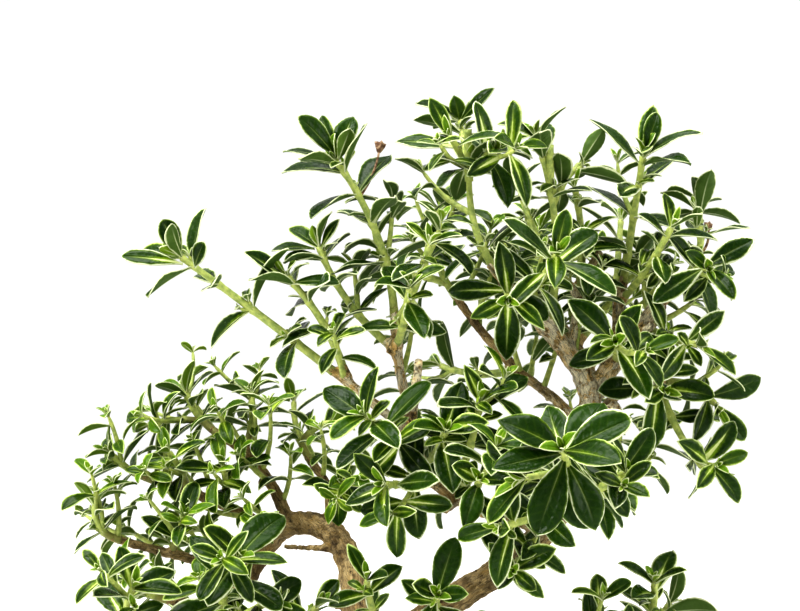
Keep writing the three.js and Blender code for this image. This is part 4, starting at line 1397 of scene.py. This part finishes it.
def makeBark():
    material, tree = newMaterial("furrowedBark")
    place, grain = objectPlace(tree), attribute(tree, "grain")
    furrow = attribute(tree, "furrow", "Fac")
    drawn = grain.squeezed(0.16)
    streaks, fibres = drawn.noise(1.9, 5, 0.62), drawn.noise(5.0, 4, 0.6)
    patches, flakes = place.noise(95, 3), place.noise(520, 4, 0.6)
    _, y, z = place.split()
    paintedLight = z.step(0.15, 0.2) * y.step(0.03, 0.0)  # painted light and shade: the upper wood in front is painted palest, the back and lower wood darker
    # small irregular plates, each with its own tone, and the cracks between them
    stirred = Wire(addNode(tree, "ShaderNodeVectorMath", operation="MULTIPLY_ADD", values={
        0: grain.noise(0.9, 3, output="Color"), 1: (1.6, 1.6, 1.6), 2: grain})).squeezed(0.42)
    cell = {"Vector": stirred, "Scale": 0.62}
    plates = Wire(addNode(tree, "ShaderNodeTexVoronoi", cell), "Color").split()[0]
    cracks = addNode(tree, "ShaderNodeTexVoronoi", cell, feature="DISTANCE_TO_EDGE")
    cracks = Wire(cracks, "Distance").step(0.09, 0.01) * flakes.step(0.6, 0.44)
    fissures = abs(streaks - 0.5).step(0.02, 0.004).most(abs(fibres - 0.44).step(0.018, 0.003))
    paleShare = (patches.step(0.40, 0.56) * flakes.step(0.42, 0.54)).most(
        plates.step(0.5, 0.8) * flakes.step(0.34, 0.48))
    mossy = z.step(0.085, 0.045) * patches.step(0.45, 0.6)
    colour = streaks.step(0.38, 0.6).mix(barkColours["tan"], barkColours["light"])
    for share, over in ((plates.step(0.22, 0.08) * 0.4, "brown"),
                        # painted light: the pale flakes are the bark's own, but there are more of
                        # them where the upper front wood is painted lit
                        (paleShare * (paintedLight * 0.85 + 0.15), "pale"),
                        (fibres.step(0.42, 0.3) * 0.7, "brown"),
                        (patches.step(0.45, 0.3) * 0.72, "brown"),
                        # painted shade: the back and lower wood is darkened towards an olive brown
                        ((1.0 - paintedLight) * 0.38, "paintedShade"),
                        (fissures * 0.6, "dark"),
                        (cracks * 0.5, "dark"),
                        (flakes.step(0.40, 0.30) * 0.75, "dark"),
                        (furrow.step(0.5, 1.0) * 0.5, "dark"),
                        (mossy * 0.7, "moss")):
        colour = share.mix(colour, barkColours[over])
    rough = fissures * -0.35 + (fibres + streaks + flakes * 0.8)
    rough = cracks * -0.5 + (plates * 0.35 + rough)
    return finished(material, colour, fibres * 0.2 + 0.72, rough, 0.85, 0.0009)


print("bark and branches stand, faces:", len(makeWood().data.polygons))

potForm = {
    "length": 156, "width": 116, "height": 44, "lip": 5, "wall": 6, "taper": 8, "belly": 1.5,
    "foot": 4, "footInset": 9, "footRing": 5, "footHollow": 1.5, "floor": 7, "drainRadius": 5,
    "drainSpacing": 56, "steps": 112, "rounding": 0.7,
}
lipRadius = potForm["length"] / 2
wallTop = lipRadius - potForm["lip"]
wallFoot = wallTop - potForm["taper"]
footRadius = wallFoot - potForm["footInset"]
innerTop = wallTop - potForm["wall"]
innerFloor = wallFoot - potForm["wall"]
floorTop = potForm["foot"] + potForm["floor"]
underLip = potForm["height"] - potForm["lip"]


# Turns a profile of (radius, height) and presses it to the oval of the pot.
def spinOval(profile, steps):
    made = spun([(r * mm, z * mm) for r, z in profile], steps)
    bmesh.ops.scale(made, vec=(1, potForm["width"] / potForm["length"], 1), verts=made.verts[:])
    return made


def makePot():
    foot, top, belly = potForm["foot"], potForm["height"], potForm["belly"]
    inFoot, hollow = footRadius - potForm["footRing"], foot - potForm["footHollow"]
    wallRun = [(blend(wallFoot, wallTop, share) + belly * math.sin(math.pi * share),
                blend(foot + 3, underLip - 2, share)) for share in (k / 8 for k in range(9))]
    made = spinOval([(0, hollow), (inFoot, hollow), (inFoot, 0), (footRadius, 0),
                     (footRadius, foot), (wallFoot - 2, foot), *wallRun, (lipRadius, underLip),
                     (lipRadius, top - 1), (lipRadius - 1, top), (innerTop, top),
                     (innerFloor, floorTop), (0, floorTop)], potForm["steps"])
    sharp = [edge for edge in made.edges if edge.calc_face_angle(0) > 0.35]
    bmesh.ops.bevel(made, geom=sharp, offset=potForm["rounding"] * mm, offset_type="OFFSET",
                    segments=3, profile=0.5, affect="EDGES", material=-1, clamp_overlap=True)
    shadeSmooth(made)
    piece = linkMesh("glazed_pot", made, [makeGlaze()])
    radius = potForm["drainRadius"] * mm
    for sign in (-1, 1):
        cutter = bmesh.new()
        bmesh.ops.create_cone(
            cutter, cap_ends=True, segments=40, radius1=radius, radius2=radius, depth=60 * mm,
            matrix=Matrix.Translation((sign * potForm["drainSpacing"] / 2 * mm, 0, 0)))
        hole = piece.modifiers.new("drain", "BOOLEAN")
        hole.operation, hole.solver = "DIFFERENCE", "EXACT"
        hole.object = linkMesh("drill", cutter)
        drill = hole.object
        applyModifiers(piece)
        bpy.data.objects.remove(drill)
    addPiece(piece, "pot")


glazeColours = {
    "deep": (0.018, 0.042, 0.058, 1),
    "thin": (0.060, 0.115, 0.130, 1),
    "fleck": (0.16, 0.22, 0.21, 1),
    "break": (0.14, 0.075, 0.038, 1),
    "clay": (0.17, 0.095, 0.055, 1),
}


def makeGlaze():
    material, tree = newMaterial("blueGreyGlaze")
    place = objectPlace(tree)
    runs = place.squeezed(0.35).noise(90, 4, 0.55)
    clouds, flecks = place.noise(28, 3), place.noise(900, 3, 0.6)
    colour = (runs + clouds).step(0.8, 1.25).mix(glazeColours["deep"], glazeColours["thin"])
    colour = (flecks.step(0.6, 0.72) * 0.6).mix(colour, glazeColours["fleck"])
    # the glaze runs thin over the edges of the lip and ends above the foot
    wavy = (runs - 0.5) * 0.0022 + place.split()[2]
    edges = abs(wavy - 0.0430).step(0.0010, 0.0003).most(abs(wavy - 0.0392).step(0.0009, 0.0002))
    colour = (edges * 0.8).mix(colour, glazeColours["break"])
    bare = wavy.step(0.0062, 0.0054)
    colour = bare.mix(colour, flecks.mix(glazeColours["clay"], glazeColours["break"]))
    return finished(material, colour, (clouds * 0.16 + 0.14).most(bare * 0.85),
                    flecks * 0.25 + clouds, 0.35, 0.0008)


makePot()
print("pot stands")

soilForm = {
    "rim": 38, "crown": 52, "gap": 0.3, "domeSteps": 26, "steps": 96, "roughness": 0.7,
    "grains": 900, "grainSize": (0.9, 2.1),
    "mossPatches": 9, "mossAway": (17, 46), "mossWide": (6, 13), "mossCentre": (8, 5),
}


# How far out of the middle a place lies, measured along the pot's length.
def ovalReach(x, y):
    return math.hypot(x, y * potForm["length"] / potForm["width"])


def soilHeight(x, y):
    share = (soilForm["rim"] - floorTop) / (potForm["height"] - floorTop)
    share = min(1.0, ovalReach(x, y) / blend(innerFloor, innerTop, share))
    return soilForm["rim"] + (soilForm["crown"] - soilForm["rim"]) * math.cos(share * math.pi / 2)


def soilRadius(z):
    share = (z - floorTop) / (potForm["height"] - floorTop)
    gap = soilForm["gap"] * potForm["length"] / potForm["width"]
    return blend(innerFloor, innerTop, share) - gap


def ballTemplate(name, subdivisions):
    made = bmesh.new()
    bmesh.ops.create_icosphere(made, subdivisions=subdivisions, radius=1)
    shadeSmooth(made)
    return meshOf(name, made)


def makeSoil():
    rim, steps = soilForm["rim"], soilForm["domeSteps"]
    low, rimRadius = floorTop + soilForm["gap"], soilRadius(rim)
    dome = [(rimRadius * k / steps, soilHeight(rimRadius * k / steps, 0))
            for k in range(steps, -1, -1)]
    made = spinOval([(0, low), (soilRadius(low), low), *dome], soilForm["steps"])
    for vert in made.verts:
        if vert.co.z > (rim - 0.01) * mm:
            place = vert.co / mm
            lumps = noise.noise(place * 0.35) * 0.55 + noise.noise(place * 0.12) * 0.8
            inner = 1 - min(1.0, ovalReach(place.x, place.y) / rimRadius)
            vert.co.z += (lumps * min(1.0, 4 * inner) - 0.5) * soilForm["roughness"] * mm
    shadeSmooth(made)
    made = bmeshOf(meshOf("ground", made))
    placeGrains(made, rimRadius)
    growMoss(made)
    piece = linkMesh("soil_and_moss", made, [makeEarth(), makeMoss()])
    addPiece(piece, "soil")


def placeGrains(made, rimRadius):
    draw, pebble = drawsFrom(919), ballTemplate("pebble", 1)
    tone = made.verts.layers.float.new("grainTone")
    for _ in range(soilForm["grains"]):
        turn, share = draw(0, 2 * math.pi), math.sqrt(draw()) * 0.985
        x = math.cos(turn) * share * rimRadius
        y = math.sin(turn) * share * rimRadius * potForm["width"] / potForm["length"]
        size = draw(*soilForm["grainSize"])
        spin = Quaternion(Vector((draw(-1, 1), draw(-1, 1), draw(-1, 1) + 0.01)).normalized(),
                          draw(0, 6))
        stretch = Vector((draw(0.7, 1.1), draw(0.7, 1.1), draw(0.55, 0.9)))
        given = draw()
        for vert in addCopy(made, pebble)[0]:
            lump = 1 + 0.28 * noise.noise(vert.co * 1.7 + Vector((x, y, given * 9)))
            local = spin @ (Vector(a * b for a, b in zip(vert.co, stretch)) * lump * size * 0.6)
            vert.co = (local + Vector((x, y, soilHeight(x, y) + size * 0.12))) * mm
            vert[tone] = 0.2 + given


def tuftTemplate():
    made = bmesh.new()
    bmesh.ops.create_cone(made, cap_ends=False, segments=3, radius1=0.32, radius2=0.05, depth=1)
    bmesh.ops.translate(made, vec=(0, 0, 0.5), verts=made.verts[:])
    return meshOf("tuft", made)


# Moss cushions near the trunk: low domes covered with short tufts.
def growMoss(made):
    draw, cushion, tuft = drawsFrom(5501), ballTemplate("cushion", 3), tuftTemplate()
    tone = made.verts.layers.float["grainTone"]
    for _ in range(soilForm["mossPatches"]):
        turn, away = draw(0, 2 * math.pi), draw(*soilForm["mossAway"])
        cx = soilForm["mossCentre"][0] + math.cos(turn) * away
        cy = soilForm["mossCentre"][1] + math.sin(turn) * away * 0.7
        wide = draw(*soilForm["mossWide"])
        corners, faces = addCopy(made, cushion)
        for vert in corners:
            edge = wide * (1 + 0.3 * noise.noise(vert.co * 1.5 + Vector((cx, cy, 0))))
            x, y = cx + vert.co.x * edge, cy + vert.co.y * edge * 0.85
            lump = noise.noise(Vector((x, y, 0)) * 0.45)
            z = soilHeight(x, y) + vert.co.z * (wide * 0.13 + 0.5 + 0.5 * lump)
            vert.co = Vector((x, y, z)) * mm
            vert[tone] = 0.5 + lump
        for face in faces:
            face.material_index, face.smooth = 1, True
        for _ in range(int(wide * wide * 1.9)):
            around, share = draw(0, 2 * math.pi), math.sqrt(draw())
            x = cx + math.cos(around) * share * wide * 0.98
            y = cy + math.sin(around) * share * wide * 0.84
            z = soilHeight(x, y) + math.sqrt(max(0.0, 1 - share ** 2)) * (wide * 0.13 + 0.4) - 0.3
            lean = Vector((draw(-0.4, 0.4), draw(-0.4, 0.4), 1)).normalized()
            turned, tall, given = lean.to_track_quat("Z", "X"), draw(0.9, 1.9), draw(0.2, 1.1)
            corners, faces = addCopy(made, tuft)
            for vert in corners:
                vert[tone] = given * (0.5 + vert.co.z)
                vert.co.z *= tall
                vert.co = (turned @ vert.co + Vector((x, y, z))) * mm
            for face in faces:
                face.material_index = 1


earthColours = {
    "dark": (0.030, 0.019, 0.012, 1),
    "brown": (0.105, 0.062, 0.036, 1),
    "clay": (0.26, 0.155, 0.085, 1),
    "grey": (0.20, 0.18, 0.155, 1),
    "moss": ((0.030, 0.055, 0.012, 1), (0.150, 0.205, 0.050, 1)),
}


def makeEarth():
    material, tree = newMaterial("grittySoil")
    place, tone = objectPlace(tree), attribute(tree, "grainTone", "Fac")
    dark, brown = earthColours["dark"], earthColours["brown"]
    grit = place.noise(1500, 4, 0.65)
    ground = place.noise(320, 3, 0.6).step(0.35, 0.7).mix(dark, brown)
    grain = tone.step(0.25, 0.85).mix(brown, earthColours["clay"])
    grain = tone.step(0.95, 1.1).mix(grain, earthColours["grey"])
    colour = tone.step(0.1, 0.19).mix(ground, grain)
    colour = grit.step(0.5, 0.3).mix(colour, dark)
    return finished(material, colour, grit * 0.1 + 0.88, grit, 0.8, 0.0006)


def makeMoss():
    material, tree = newMaterial("mossCushion")
    tone, fuzz = attribute(tree, "grainTone", "Fac"), objectPlace(tree).noise(1200, 3, 0.6)
    colour = (tone.step(0.0, 1.3) * (fuzz + 0.5)).mix(*earthColours["moss"])
    return finished(material, colour, fuzz * 0.1 + 0.85, fuzz, 0.9, 0.0006)


makeSoil()
print("soil and moss lie in the pot")

corners = {"cad": cadBounds, "visual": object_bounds()}
{key: [list(corner) for corner in pair] for key, pair in corners.items()}
